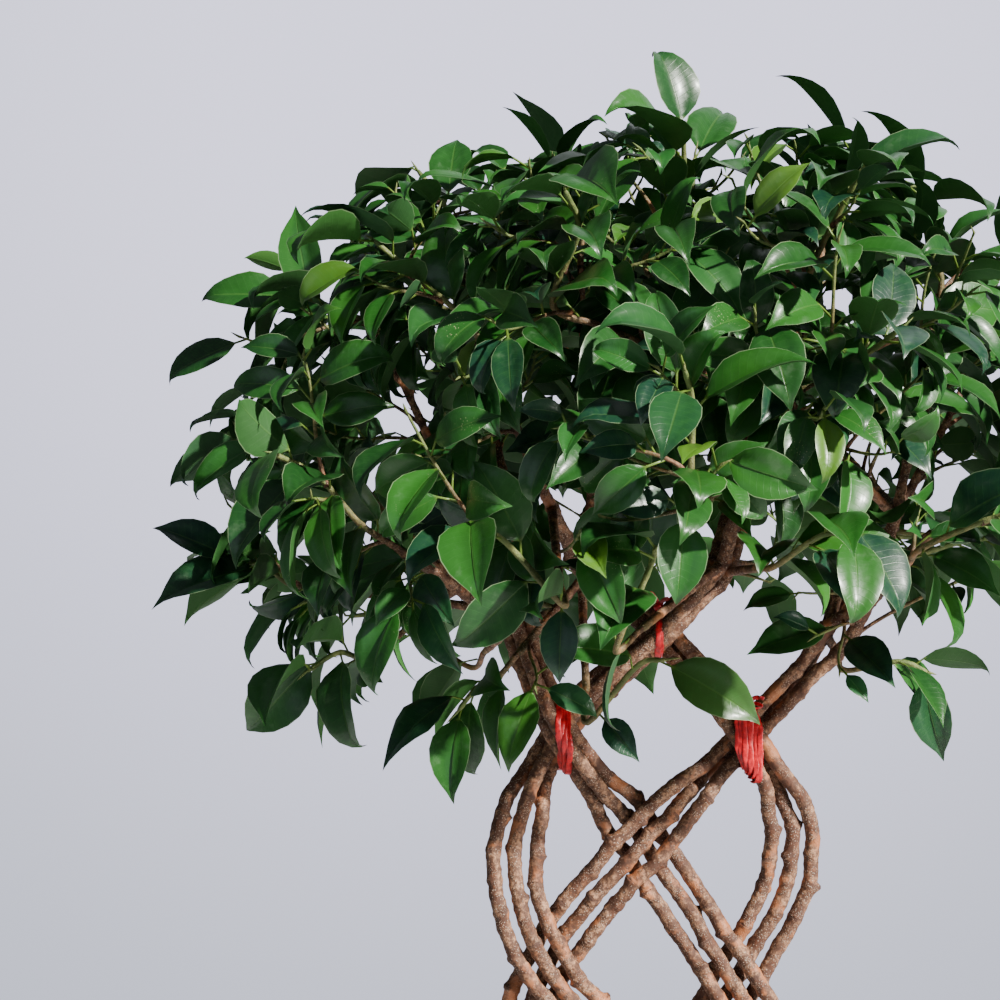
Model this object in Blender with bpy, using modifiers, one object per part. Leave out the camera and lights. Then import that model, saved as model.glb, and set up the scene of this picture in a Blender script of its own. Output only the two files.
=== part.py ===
"""Potted braided ficus, in metres, +Z up, origin at the centre of the pot's flat underside.

Twelve thin stems stand in potting mix. They are gathered three by three into four flat bundles, and the
bundles are woven into one upright lattice that faces -Y. Tape ties hold the three highest crossings. Above
them every stem runs on as a bough into the crown, forks into side boughs, and each bough ends in a leafy
shoot. Every stem with its boughs is one solid, and every leafy shoot is one solid.
"""

import math

import bmesh
import bpy
import numpy as np
from mathutils import Matrix, Vector
from mathutils.bvhtree import BVHTree

MM = 0.001
UP = np.array([0.0, 0.0, 1.0])

# Pot and potting mix
POT_HEIGHT = 0.265
POT_TOP_RADIUS = 0.158
POT_FOOT_RADIUS = 0.116
POT_WALL = 0.009
POT_FLOOR = 0.013
POT_RIM_HEIGHT = 0.022
POT_RIM_LEDGE = 0.005
POT_EDGE_ROUND = 0.004
POT_SIDES = 32
SOIL_HEIGHT = 0.240
SOIL_MOUND = 0.006
FIT_GAP = 0.3 * MM

# Braid: where the bundles cross, as (x, height above the soil). A side level has a left and a right
# crossing. A centre level has one crossing, and the two outer bundles bow out beside it.
SIDE, CENTRE = "side", "centre"
WEAVE = (
    (SIDE, (-0.066, 0.055), (0.064, 0.052)),
    (CENTRE, (0.002, 0.140), (-0.103, 0.143), (0.102, 0.139)),
    (SIDE, (-0.0785, 0.238), (0.057, 0.225)),
    (CENTRE, (-0.010, 0.328), (-0.105, 0.314), (0.1025, 0.320)),
    (SIDE, (-0.069, 0.407), (0.0665, 0.404)),
    (CENTRE, (0.003, 0.480), (-0.100, 0.482), (0.126, 0.472)),
)
ABOVE_TOP_CROSSING = (0.046, 0.527)
BUNDLE_ORDER = "DBCA"
BUNDLE_FEET = (-0.088, -0.034, 0.030, 0.086)
TIED_LEVELS = (4, 5)
STEM_DEPTH_IN_SOIL = 0.050
STEM_FOOT_RADIUS = 6.5 * MM
STEM_TOP_RADIUS = 5.7 * MM
STEM_PITCH = 15.0 * MM
TIED_PITCH = 12.9 * MM
CROSSING_DEPTH = 7.0 * MM
TIED_DEPTH = 12.0 * MM
TIED_FROM = 0.384
STATION = 0.0265
CROWN_STATION = 0.040
KNOT_SWELL = 0.13
STEM_WANDER = 0.9 * MM

# Tape ties: a band that stands on edge round a crossing, through the gaps above and below it. Each has the
# x and the height above the soil of the middle of its crossing.
TIES = {"tie_left": (-0.0655, 0.407), "tie_right": (0.065, 0.404), "tie_top": (0.002, 0.480)}
TIE_WIDTH = 8.0 * MM
TIE_THICKNESS = 1.3 * MM
TIE_CLEARANCE = 0.35 * MM
TIE_CORNER = 12.0 * MM
TIE_CORNER_STEPS = 3

# Crown: a rounded dome, its half sizes from its middle, and the shoots that fill it
CROWN_MIDDLE = np.array([0.014, 0.0, 0.860])
CROWN_HALF_WIDTH = 0.366
CROWN_HALF_DEPTH = 0.310
CROWN_RISE = 0.232
CROWN_DROP_LEFT = 0.205
CROWN_DROP_RIGHT = 0.115
CROWN_SQUARENESS = 2.3
LOWEST_LEFT = -0.46
LOWEST_RIGHT = -0.28
DRIFT = 4e-5
SHOOTS = 40
SHOOT_LENGTH = 0.115
SHOOT_REACH = 0.90
BOUGH_RADIUS = 4.4 * MM
BOUGH_TIP_RADIUS = 2.7 * MM
SIDE_BOUGH_RADIUS = 3.3 * MM
SHOOT_RADIUS = 2.3 * MM
SHOOT_TIP_RADIUS = 1.75 * MM
BUNDLE_HOME = {"C": -0.24, "D": -0.085, "A": 0.085, "B": 0.25}
ROW_HOME = {"front": -0.17, "middle": 0.0, "back": 0.17}
BUNDLE_ROWS = {
    "A": ("back", "front", "middle"),
    "B": ("middle", "back", "front"),
    "C": ("middle", "front", "back"),
    "D": ("front", "back", "middle"),
}
GROWTH_SEED = 11

# Shoots that stand at places of their own: start, tip, how many leaves, and those leaves that have places of
# their own, as (share of the shoot, tip of the leaf, side that its upper face looks to). The other shoots
# spread evenly round them.
FACING, EDGE_ON = (-0.25, -0.75, 0.60), (0.85, 0.10, 0.50)
PLACED_SHOOTS = (
    (
        (-0.240, -0.030, 0.752),
        (-0.299, -0.040, 0.771),
        7,
        ((1.0, (-0.358, -0.050, 0.794), FACING), (0.7, (-0.354, -0.075, 0.742), FACING)),
    ),
    (
        (-0.052, -0.060, 0.680),
        (0.000, -0.105, 0.706),
        3,
        ((1.0, (0.062, -0.130, 0.662), FACING), (0.35, (-0.020, -0.105, 0.636), FACING)),
    ),
    ((0.135, 0.020, 0.700), (0.199, 0.020, 0.689), 4, ((1.0, (0.205, 0.012, 0.622), FACING),)),
    ((-0.100, -0.050, 0.706), (-0.140, -0.105, 0.672), 7, ((1.0, (-0.150, -0.130, 0.612), FACING),)),
    ((-0.180, -0.060, 0.722), (-0.240, -0.120, 0.700), 7, ()),
    (
        (-0.190, -0.020, 0.915),
        (-0.258, -0.020, 0.960),
        7,
        ((1.0, (-0.333, -0.020, 0.955), FACING), (0.9, (-0.264, -0.020, 1.026), FACING)),
    ),
    ((0.118, 0.000, 0.985), (0.142, 0.000, 1.068), 7, ((1.0, (0.094, -0.005, 1.131), EDGE_ON),)),
    ((0.190, -0.060, 0.940), (0.180, -0.070, 1.022), 7, ((1.0, (0.150, -0.070, 1.094), EDGE_ON),)),
    ((-0.055, -0.030, 0.980), (-0.074, -0.040, 1.050), 7, ((1.0, (-0.106, -0.040, 1.096), EDGE_ON),)),
)

# Leaves: the large ones of each shoot
LEAVES_PER_SHOOT = 7
LEAF_LENGTH = (0.052, 0.076)
LEAF_WIDTH_SHARE = (0.50, 0.60)
LEAF_KEEL = 1.5 * MM
PETIOLE_LENGTH = (0.009, 0.014)
PETIOLE_RADIUS = 1.4 * MM
GOLDEN_ANGLE = math.radians(137.5)
LEAF_TRIES = 14
LEAF_CLEARANCE = 0.7 * MM
LEAF_SEED = 23

# The braid's open front, where no leaf of an evenly spread shoot hangs: x from and to, and the top
OPEN_LEFT, OPEN_RIGHT, OPEN_TOP = -0.012, 0.100, 0.740


def unit(v):
    """v, or each row of v, at length 1."""
    v = np.asarray(v, float)
    return v / np.linalg.norm(v, axis=-1, keepdims=True)


def smoothstep(low, high, x):
    t = np.clip((x - low) / (high - low), 0.0, 1.0)
    return t * t * (3.0 - 2.0 * t)


def spline(points, per_span):
    """Catmull-Rom curve through the points, per_span samples to a span."""
    p = np.asarray(points, float)
    p = np.vstack([2 * p[0] - p[1], p, 2 * p[-1] - p[-2]])
    t = np.arange(per_span)[:, None] / per_span
    spans = [
        0.5
        * (
            2 * b
            + (c - a) * t
            + (2 * a - 5 * b + 4 * c - d) * t**2
            + (3 * b - a - 3 * c + d) * t**3
        )
        for a, b, c, d in zip(p, p[1:], p[2:], p[3:])
    ]
    return np.vstack(spans + [p[-2:-1]])


def bezier(a, b, c, d, count):
    """Cubic Bezier curve with control points a, b, c and d."""
    t = np.linspace(0.0, 1.0, count)[:, None]
    return (1 - t) ** 3 * a + 3 * (1 - t) ** 2 * t * b + 3 * (1 - t) * t**2 * c + t**3 * d


def lengths_along(points):
    steps = np.linalg.norm(np.diff(points, axis=0), axis=1)
    return np.concatenate([[0.0], np.cumsum(steps)])


def resampled(points, count):
    """The polyline with count points at equal steps."""
    s = lengths_along(points)
    at = np.linspace(0.0, s[-1], count)
    return np.stack([np.interp(at, s, points[:, i]) for i in range(3)], axis=1)


def thickness_at(line, spots):
    """Radius of the line at spots that follow it from end to end."""
    s = lengths_along(line["points"])
    return np.interp(np.linspace(0.0, s[-1], len(spots)), s, line["radii"])


def tangents(points):
    return unit(np.gradient(points, axis=0))


# Braid


def bundle_routes():
    """For each bundle, the points that its middle passes: x, y, height above the soil."""
    order = list(BUNDLE_ORDER)
    routes = {b: [(x, 0.0, -STEM_DEPTH_IN_SOIL), (x, 0.0, 0.0)] for b, x in zip(order, BUNDLE_FEET)}
    for level, (kind, *places) in enumerate(WEAVE):
        depth = TIED_DEPTH if level in TIED_LEVELS else CROSSING_DEPTH
        pairs = ((0, 1), (2, 3)) if kind == SIDE else ((1, 2),)
        for (left, right), (x, height) in zip(pairs, places):
            in_front = order[right] if kind == SIDE else order[left]
            for bundle in (order[left], order[right]):
                y = -depth if bundle == in_front else depth
                routes[bundle].append((x, y, height))
            order[left], order[right] = order[right], order[left]
        if kind == CENTRE:
            for bundle, (x, height) in zip((order[0], order[3]), places[1:]):
                routes[bundle].append((x, 0.0, height))
    x, height = ABOVE_TOP_CROSSING
    for bundle, side in ((order[1], -1), (order[2], 1)):
        routes[bundle].append((side * x, 0.5 * routes[bundle][-1][1], height))
    return routes


def stem_wander(rng, count):
    """A slow sideways drift of a stem, as a smoothed random walk."""
    drift = rng.normal(0.0, 1.0, (count, 3))
    for _ in range(3):
        drift[1:-1] = (drift[:-2] + drift[1:-1] + drift[2:]) / 3
    drift[:, 2] = 0.0
    return drift * STEM_WANDER


def braid_stems(rng):
    """The twelve stems from their feet to the top of the braid, three to a bundle."""
    stems = []
    for bundle, route in sorted(bundle_routes().items()):
        middle = spline(route, 16)
        middle = resampled(middle, 2 + int(lengths_along(middle)[-1] / STATION))
        for _ in range(2):
            middle[1:-1, 0] += 0.25 * (middle[:-2, 0] - 2 * middle[1:-1, 0] + middle[2:, 0])
        along = tangents(middle)
        side = unit(np.stack([along[:, 2], np.zeros(len(along)), -along[:, 0]], axis=1))
        gathered = smoothstep(TIED_FROM - 0.045, TIED_FROM, middle[:, 2])[:, None]
        apex = -1.0 if bundle in "AC" else 1.0
        for k in (-1, 0, 1):
            flat = k * STEM_PITCH * side
            tied_side = 0.5 * k * TIED_PITCH
            tied_depth = (0.58 if k == 0 else -0.29) * TIED_PITCH * apex
            tied = tied_side * side + np.array([0.0, tied_depth, 0.0])
            points = middle + flat * (1 - gathered) + tied * gathered
            points = points + stem_wander(rng, len(points))
            points[:, 2] += SOIL_HEIGHT
            stems.append({"bundle": bundle, "k": k, "points": points})
    return stems


# Crown


def leftness(direction):
    """0 for a direction to the right, rising to 1 for one well to the left."""
    return 1.0 - smoothstep(-0.50, 0.05, direction[:, 0])


def dome(direction):
    """Distance from the crown's middle to its surface, along each direction: a rounded box whose underside
    is higher on the right than on the left."""
    d = np.atleast_2d(direction)
    drop = CROWN_DROP_RIGHT + (CROWN_DROP_LEFT - CROWN_DROP_RIGHT) * leftness(d)
    tall = np.where(d[:, 2] > 0, CROWN_RISE, drop)
    p = CROWN_SQUARENESS
    sums = (
        np.abs(d[:, 0] / CROWN_HALF_WIDTH) ** p
        + np.abs(d[:, 1] / CROWN_HALF_DEPTH) ** p
        + np.abs(d[:, 2] / tall) ** p
    )
    return sums ** (-1 / p)


def shoot_plan(rng):
    """Where each shoot starts, bends and ends. The placed shoots come first. The others start on a spiral
    round the dome, and all of them drift apart over its surface until they are evenly spread."""
    placed = np.array([tip for _, tip, _, _ in PLACED_SHOOTS])
    i = np.arange(SHOOTS - len(placed))
    rise = 1.0 - (i + 0.5) / len(i) * (1.0 - LOWEST_LEFT)
    turn = i * math.pi * (3 - math.sqrt(5))
    flat = np.sqrt(1 - rise**2)
    out = np.stack([flat * np.cos(turn), flat * np.sin(turn), rise], axis=1)
    reach = SHOOT_REACH + rng.normal(0.0, 0.03, len(i))
    for _ in range(80):
        tips = np.vstack([placed, CROWN_MIDDLE + out * (dome(out) * reach)[:, None]])
        apart = tips[:, None] - tips[None]
        far = np.linalg.norm(apart, axis=2) + np.eye(len(tips))
        push = (apart / far[:, :, None] ** 3).sum(axis=1)[len(placed) :]
        out = unit(tips[len(placed) :] + DRIFT * push - CROWN_MIDDLE)
        out[:, 2] = np.maximum(out[:, 2], LOWEST_RIGHT + (LOWEST_LEFT - LOWEST_RIGHT) * leftness(out))
        out = unit(out)
    heading = unit(out + 0.30 * UP + rng.normal(0.0, 0.12, out.shape))
    plans = []
    for start, tip, count, leaves in PLACED_SHOOTS:
        start, tip = np.array(start), np.array(tip)
        bend = 0.5 * (start + tip) + 0.006 * UP
        plans.append({"start": start, "bend": bend, "tip": tip, "count": count, "leaves": leaves})
    for tip, d in zip(tips[len(placed) :], heading):
        lift = unit(d + 0.45 * UP)
        start = tip - 0.5 * SHOOT_LENGTH * (d + lift)
        bend = start + 0.5 * SHOOT_LENGTH * lift
        plan = {"start": start, "bend": bend, "tip": tip, "count": LEAVES_PER_SHOOT, "leaves": ()}
        plans.append(plan)
    return plans


def give_shoots(stems, plans):
    """Gives every stem three or four shoots near its own part of the crown: the shoots are dealt out, and
    then swapped while that brings them nearer in all."""
    starts = np.array([p["start"] for p in plans])
    for stem in stems:
        row = BUNDLE_ROWS[stem["bundle"]][stem["k"] + 1]
        stem["home"] = np.array([BUNDLE_HOME[stem["bundle"]], ROW_HOME[row]])
    far = np.array([((starts[:, :2] - s["home"]) ** 2).sum(axis=1) for s in stems])
    holder = np.arange(len(plans)) % len(stems)
    better = True
    while better:
        better = False
        for i in range(len(plans)):
            for j in range(i):
                a, b = holder[i], holder[j]
                if far[a, j] + far[b, i] < far[a, i] + far[b, j] - 1e-9:
                    holder[i], holder[j] = b, a
                    better = True
    for s, stem in enumerate(stems):
        own = [j for j in range(len(plans)) if holder[j] == s]
        stem["shoots"] = sorted(own, key=lambda j: -plans[j]["start"][2])


def bough_run(root, along, plan, station):
    """A bough's middle line, which leaves its root along the line given and meets its shoot straight on."""
    start = plan["start"]
    far = np.linalg.norm(start - root)
    arriving = unit(0.7 * unit(plan["bend"] - start) + 0.3 * unit(plan["tip"] - start))
    run = bezier(root, root + 0.36 * far * along, start - 0.33 * far * arriving, start, 40)
    return resampled(run, max(4, 2 + int(far / station)))


def fork_of(points, first, start):
    """Where along a stem a side bough leaves it: near the shoot that it leads to, and not at a wide angle."""
    last = len(points) - 2
    roots = points[first:last]
    toward = start - roots
    far = np.linalg.norm(toward, axis=1)
    straight = (unit(toward) * unit(points[first + 1 : last + 1] - points[first - 1 : last - 1])).sum(axis=1)
    return first + int(np.argmin(far * (1.7 - straight)))


def grow_boughs(stems, plans):
    """Runs each stem on to its highest shoot and forks a side bough off it for each of the others.
    Returns the lines of the plant, each with its radii, its owner (the stem's number, or 100 and the shoot's),
    the stem whose wood bears it, and what it springs from."""
    lines = []
    for s, stem in enumerate(stems):
        braid = stem["points"]
        run = bough_run(braid[-1], unit(braid[-1] - braid[-2]), plans[stem["shoots"][0]], CROWN_STATION)
        points = np.vstack([braid, run[1:]])
        top = lengths_along(braid)[-1]
        end = lengths_along(points)[-1]
        radii = np.interp(
            lengths_along(points),
            [0.0, top, top + 0.05, end],
            [STEM_FOOT_RADIUS, STEM_TOP_RADIUS, BOUGH_RADIUS, BOUGH_TIP_RADIUS],
        )
        trunk = len(lines)
        lines.append({"owner": s, "points": points, "radii": radii, "root": None, "crown": len(braid)})
        lines[-1].update(shoot=stem["shoots"][0], wood=s)
        for j in stem["shoots"][1:]:
            at = fork_of(points, len(braid) - 1, plans[j]["start"])
            along = unit(points[at + 1] - points[at - 1])
            leaving = unit(along + unit(plans[j]["start"] - points[at]))
            bough = bough_run(points[at], leaving, plans[j], 1.25 * CROWN_STATION)
            thick = np.linspace(SIDE_BOUGH_RADIUS, BOUGH_TIP_RADIUS, len(bough))
            lines.append({"owner": s, "points": bough, "radii": thick, "root": (trunk, at), "crown": 1})
            lines[-1].update(shoot=j, wood=s)
    for parent in range(len(lines)):
        bearer = lines[parent]
        plan = plans[bearer["shoot"]]
        bow = resampled(bezier(plan["start"], plan["bend"], plan["bend"], plan["tip"], 30), 4)
        thick = np.linspace(SHOOT_RADIUS, SHOOT_TIP_RADIUS, len(bow))
        root = (parent, len(bearer["points"]) - 1)
        lines.append({"owner": 100 + bearer["shoot"], "points": bow, "radii": thick, "root": root})
        lines[-1]["wood"] = bearer["wood"]
    return lines


def balls_of(lines):
    """Balls that fill the lines, four to a step, as arrays: place, radius, owner, family, the point before it,
    the share of the next point, and whether it lies where a bough and its shoot meet."""
    share = np.array([0.0, 0.25, 0.5, 0.75])
    columns = []
    first = 0
    for line in lines:
        p, r = line["points"], line["radii"]
        i = np.repeat(np.arange(len(p) - 1), len(share))
        w = np.tile(share, len(p) - 1)
        meets = i + w < 1.0 if line["owner"] >= 100 else i + w > len(p) - 1.6
        owner, family = np.full(len(i), line["owner"]), np.full(len(i), line["wood"])
        place = p[i] * (1 - w)[:, None] + p[i + 1] * w[:, None]
        columns.append((place, r[i] * (1 - w) + r[i + 1] * w, owner, family, first + i, w, meets))
        first += len(p)
    return [np.concatenate(column) for column in zip(*columns)]


def neighbours(spots, size, owner, family, meets):
    """Pairs of balls near each other. A shoot and the bough that bears it may touch where they meet."""
    far = np.linalg.norm(spots[:, None] - spots[None], axis=2)
    reach = size[:, None] + size[None] + 12 * MM
    a, b = np.argwhere(np.triu(far < reach, 1)).T
    shoot_on_bough = (family[a] == family[b]) & ((owner[a] < 100) != (owner[b] < 100))
    kept = (owner[a] != owner[b]) & ~(shoot_on_bough & meets[a] & meets[b])
    return a[kept], b[kept]


def settle(lines, rounds=240, gap=0.9 * MM, pinned_below=SOIL_HEIGHT - 0.03):
    """Pushes the lines of different owners apart until all are clear by the gap, as pressed stems lie side
    by side. A side line stays on the point that it springs from."""
    for step in range(rounds):
        spots, size, owner, family, base, weight, meets = balls_of(lines)
        if step % 12 == 0:
            near = neighbours(spots, size, owner, family, meets)
        a, b = near
        apart = spots[a] - spots[b]
        far = np.linalg.norm(apart, axis=1) + 1e-9
        lack = size[a] + size[b] + gap - far
        hit = lack > 0
        if not hit.any():
            break
        push = (apart * (0.5 * lack / far)[:, None])[hit]
        total = sum(len(line["points"]) for line in lines)
        moved, count = np.zeros((total, 3)), np.zeros(total)
        for ball, sign in ((a[hit], 1.0), (b[hit], -1.0)):
            for end, w in ((0, 1 - weight[ball]), (1, weight[ball])):
                np.add.at(moved, base[ball] + end, sign * push * w[:, None])
                np.add.at(count, base[ball] + end, w)
        moved = 1.1 * moved / np.maximum(count, 1.0)[:, None]
        first = 0
        for line in lines:
            shift = moved[first : first + len(line["points"])]
            first += len(line["points"])
            shift[line["points"][:, 2] < pinned_below] = 0.0
            line["points"] = line["points"] + shift
        for line in lines:
            if line["owner"] < 100 and step < rounds // 2:
                ease(line["points"], line["crown"])
            if line["root"] is not None:
                keep_rooted(line, lines)
    return lines


def keep_rooted(line, lines):
    """Brings a side line back to the point that it springs from. The shift fades out along it."""
    parent, at = line["root"]
    miss = lines[parent]["points"][at] - line["points"][0]
    fade = np.linspace(1.0, 0.0, len(line["points"])) ** 2
    line["points"] = line["points"] + miss * fade[:, None]
    if line["owner"] >= 100:
        point_at(lines[parent]["points"], line["points"])


def ease(points, first):
    """Takes some of the bend out of a bough, from its first point of its own on."""
    middle = 0.5 * (points[first - 1 : -2] + points[first + 1 :])
    points[first:-1] += 0.12 * (middle - points[first:-1])


def point_at(bough, shoot):
    """Turns the bough's last step and the shoot's first one into one line, so that their ends lie face to
    face."""
    before, after = bough[-1] - bough[-2], shoot[1] - shoot[0]
    along = unit(unit(before) + unit(after))
    bough[-2] = bough[-1] - np.linalg.norm(before) * along
    shoot[1] = shoot[0] + np.linalg.norm(after) * along


def swell_knots(lines, rng):
    """Knots: about every second station of a stem is swollen, where a leaf once grew."""
    for line in lines:
        if line["owner"] < 100 and line["root"] is None:
            n = len(line["radii"])
            knots = np.zeros(n)
            at = 4
            while at < n - 2:
                knots[at] = rng.uniform(0.6, 1.0)
                at += int(rng.integers(2, 4))
            line["knots"] = knots
            line["radii"] = line["radii"] * (1 + KNOT_SWELL * knots)
    return lines


def grow():
    """The whole plant as lines, and the plan of its shoots."""
    rng = np.random.default_rng(GROWTH_SEED)
    stems = braid_stems(rng)
    plans = shoot_plan(rng)
    give_shoots(stems, plans)
    lines = swell_knots(grow_boughs(stems, plans), rng)
    return plans, settle(lines)


# Leaves


def tube_mesh(points, radii, sides):
    """Vertices and faces of a plain tube along the points, used to test for clearance."""
    along = tangents(points)
    across = unit(np.cross(along, np.array([0.31, 0.95, 0.05])))
    other = np.cross(along, across)
    turn = np.arange(sides) * 2 * math.pi / sides
    ring = across[:, None] * np.cos(turn)[:, None] + other[:, None] * np.sin(turn)[:, None]
    co = (points[:, None] + ring * np.asarray(radii)[:, None, None]).reshape(-1, 3)
    n = len(points)
    faces = [
        (r * sides + k, r * sides + (k + 1) % sides, (r + 1) * sides + (k + 1) % sides, (r + 1) * sides + k)
        for r in range(n - 1)
        for k in range(sides)
    ]
    return co, faces


class Crowd:
    """Shapes that are in place, and a test of whether a new one would cut them."""

    def __init__(self):
        self.trees, self.low, self.high = [], [], []

    def add(self, co, faces):
        self.trees.append(BVHTree.FromPolygons([tuple(c) for c in co], faces))
        self.low.append(co.min(0))
        self.high.append(co.max(0))

    def cuts(self, co, faces, but=()):
        if not self.trees:
            return False
        low, high = np.array(self.low), np.array(self.high)
        near = ((low < co.max(0)) & (high > co.min(0))).all(axis=1)
        tree = None
        for i in np.flatnonzero(near):
            if i in but:
                continue
            tree = tree or BVHTree.FromPolygons([tuple(c) for c in co], faces)
            if tree.overlap(self.trees[i]):
                return True
        return False


# A leaf is a three-sided UV sphere drawn out along its midrib. One pole is the foot of the stalk, sunk in the
# twig. The rings lie at the blade's base and at three places on the blade: share of the blade's length, and
# share of its half width. The other pole is the tip.
LEAF_RINGS = 4
STALK_SUNK = 1.1 * MM
BLADE_AT = (0.0, 0.34, 0.66, 0.90)
BLADE_HALF_WIDTH = (0.09, 0.86, 0.90, 0.34)


def leaf_points(leaf, grow_by=0.0):
    """Corners of the leaf: the foot, then each ring as left edge, right edge and keel, then the tip. The
    midrib is an arc that starts along the blade and bends away from the upper side."""
    blade, upper, bend = leaf["blade"], leaf["upper"], leaf["bend"]
    side = np.cross(blade, upper)
    length = leaf["length"] + grow_by
    base = leaf["foot"] + leaf["stalk"] * leaf["stalk_length"]
    rows = [leaf["foot"] - STALK_SUNK * leaf["stalk"]]
    for at, wide in zip(BLADE_AT, BLADE_HALF_WIDTH):
        mid = base + length / bend * (math.sin(bend * at) * blade - (1 - math.cos(bend * at)) * upper)
        up = math.cos(bend * at) * upper + math.sin(bend * at) * blade
        half = PETIOLE_RADIUS if at == 0 else wide * (0.5 * leaf["width"] + grow_by)
        keel = (LEAF_KEEL + grow_by) * (0.5 if at > 0.8 else 1.0)
        lift = leaf["fold"] * half * up
        rows += [mid - half * side + lift, mid + half * side + lift, mid - keel * up]
    tip = base + length / bend * (math.sin(bend) * blade - (1 - math.cos(bend)) * upper)
    return np.array(rows + [tip])


def leaf_faces():
    """Faces of the drawn-out sphere, in the order that leaf_points gives its corners."""
    faces = [(0, 1 + (k + 1) % 3, 1 + k) for k in range(3)]
    for ring in range(LEAF_RINGS - 1):
        a = 1 + 3 * ring
        faces += [(a + k, a + (k + 1) % 3, a + 3 + (k + 1) % 3, a + 3 + k) for k in range(3)]
    last = 1 + 3 * (LEAF_RINGS - 1)
    tip = last + 3
    return faces + [(last + k, last + (k + 1) % 3, tip) for k in range(3)]


def make_leaf(rng, spot, along, turn, length, out):
    """One leaf that springs from spot on a twig. Its stalk leaves the twig at the given turn, the blade
    swings outwards and down from it, and its upper side faces the light."""
    across = unit(np.cross(along, UP + 0.01))
    radial = math.cos(turn) * across + math.sin(turn) * np.cross(along, across)
    stalk = unit(0.75 * radial + 0.65 * along + 0.10 * UP)
    droop = rng.uniform(0.15, 0.75)
    blade = unit(0.75 * stalk + 0.45 * out - droop * UP + rng.normal(0.0, 0.16, 3))
    if blade @ stalk < 0.5:
        blade = unit(blade + stalk)
    light = unit(0.62 * out + 0.80 * UP + rng.normal(0.0, 0.22, 3))
    return {
        "foot": spot,
        "stalk": stalk,
        "blade": blade,
        "upper": unit(light - (light @ blade) * blade),
        "stalk_length": rng.uniform(*PETIOLE_LENGTH),
        "length": length,
        "width": length * rng.uniform(*LEAF_WIDTH_SHARE),
        "bend": rng.uniform(0.25, 0.85),
        "fold": rng.uniform(0.02, 0.16),
    }


def make_placed_leaf(spot, tip, light):
    """A leaf from the spot on a twig to a tip of its own."""
    tip, light = np.array(tip), np.array(light)
    blade = unit(tip - spot)
    length = np.linalg.norm(tip - spot) - PETIOLE_LENGTH[0]
    return {
        "foot": spot,
        "stalk": unit(blade + 0.15 * UP),
        "blade": unit(blade + 0.10 * UP),
        "upper": unit(light - (light @ blade) * blade),
        "stalk_length": PETIOLE_LENGTH[0],
        "length": length,
        "width": length * LEAF_WIDTH_SHARE[0],
        "bend": 0.35,
        "fold": 0.10,
    }


def outward(spot):
    return unit((spot - CROWN_MIDDLE) / np.array([CROWN_HALF_WIDTH, CROWN_HALF_DEPTH, CROWN_RISE]))


def bars_view(points):
    """Whether something would hang in the braid's open front."""
    x, y, z = points.T
    return bool(((x > OPEN_LEFT) & (x < OPEN_RIGHT) & (y < 0.03) & (z < OPEN_TOP)).any())


def place_leaves(lines, plans):
    """The large leaves of every shoot: first those with places of their own, then the others in a spiral
    round it. A leaf that would cut something that is in place is turned and tried again, and after some
    tries it is left out."""
    rng = np.random.default_rng(LEAF_SEED)
    crowd = Crowd()
    faces = leaf_faces()
    blade_faces = faces[3:]
    shoot_of = {}
    for n, line in enumerate(lines):
        crowd.add(*tube_mesh(line["points"], line["radii"], 6))
        if line["owner"] >= 100:
            shoot_of[line["owner"] - 100] = n
    leaves = {j: [] for j in shoot_of}
    for j, n in shoot_of.items():
        points = resampled(lines[n]["points"], 60)
        for share, tip, light in plans[j]["leaves"]:
            leaf = make_placed_leaf(points[int(round(share * 56))], tip, light)
            crowd.add(leaf_points(leaf), faces)
            leaves[j].append(leaf)
    for order in range(LEAVES_PER_SHOOT):
        for j, n in shoot_of.items():
            if not len(plans[j]["leaves"]) <= order < plans[j]["count"]:
                continue
            line = lines[n]
            points = resampled(line["points"], 60)
            share = 1.0 - 0.86 * order / (LEAVES_PER_SHOOT - 1)
            at = int(round(share * 59))
            along = tangents(points)[at]
            spot = points[at] - (1.2 * MM * along if at == 59 else 0.0)
            for attempt in range(LEAF_TRIES):
                turn = order * GOLDEN_ANGLE + j + rng.normal(0.0, 0.15 + 0.25 * attempt)
                length = rng.uniform(*LEAF_LENGTH) * (1.0 - 0.015 * attempt)
                leaf = make_leaf(rng, spot, along, turn, length, outward(spot))
                probe = leaf_points(leaf, LEAF_CLEARANCE)
                own_twig = crowd.trees[n].overlap(BVHTree.FromPolygons(probe.tolist(), blade_faces))
                if not (own_twig or bars_view(probe) or crowd.cuts(probe, faces, but=(n,))):
                    crowd.add(leaf_points(leaf), faces)
                    leaves[j].append(leaf)
                    break
    return leaves


# Solids


def clear_scene():
    for obj in list(bpy.data.objects):
        bpy.data.objects.remove(obj, do_unlink=True)


def material(name, colour, roughness, metallic=0.0):
    made = bpy.data.materials.new(name)
    made.use_nodes = True
    shader = made.node_tree.nodes["Principled BSDF"]
    shader.inputs["Base Color"].default_value = (*colour, 1.0)
    shader.inputs["Roughness"].default_value = roughness
    shader.inputs["Metallic"].default_value = metallic
    return made


def place(obj, collection, finish):
    collection.objects.link(obj)
    if finish is not None:
        obj.data.materials.clear()
        obj.data.materials.append(finish)
    return obj


def helper(obj, collection):
    """An object that only cuts or joins another."""
    collection.objects.link(obj)
    obj.hide_render = True
    obj.display_type = "WIRE"
    return obj


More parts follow.
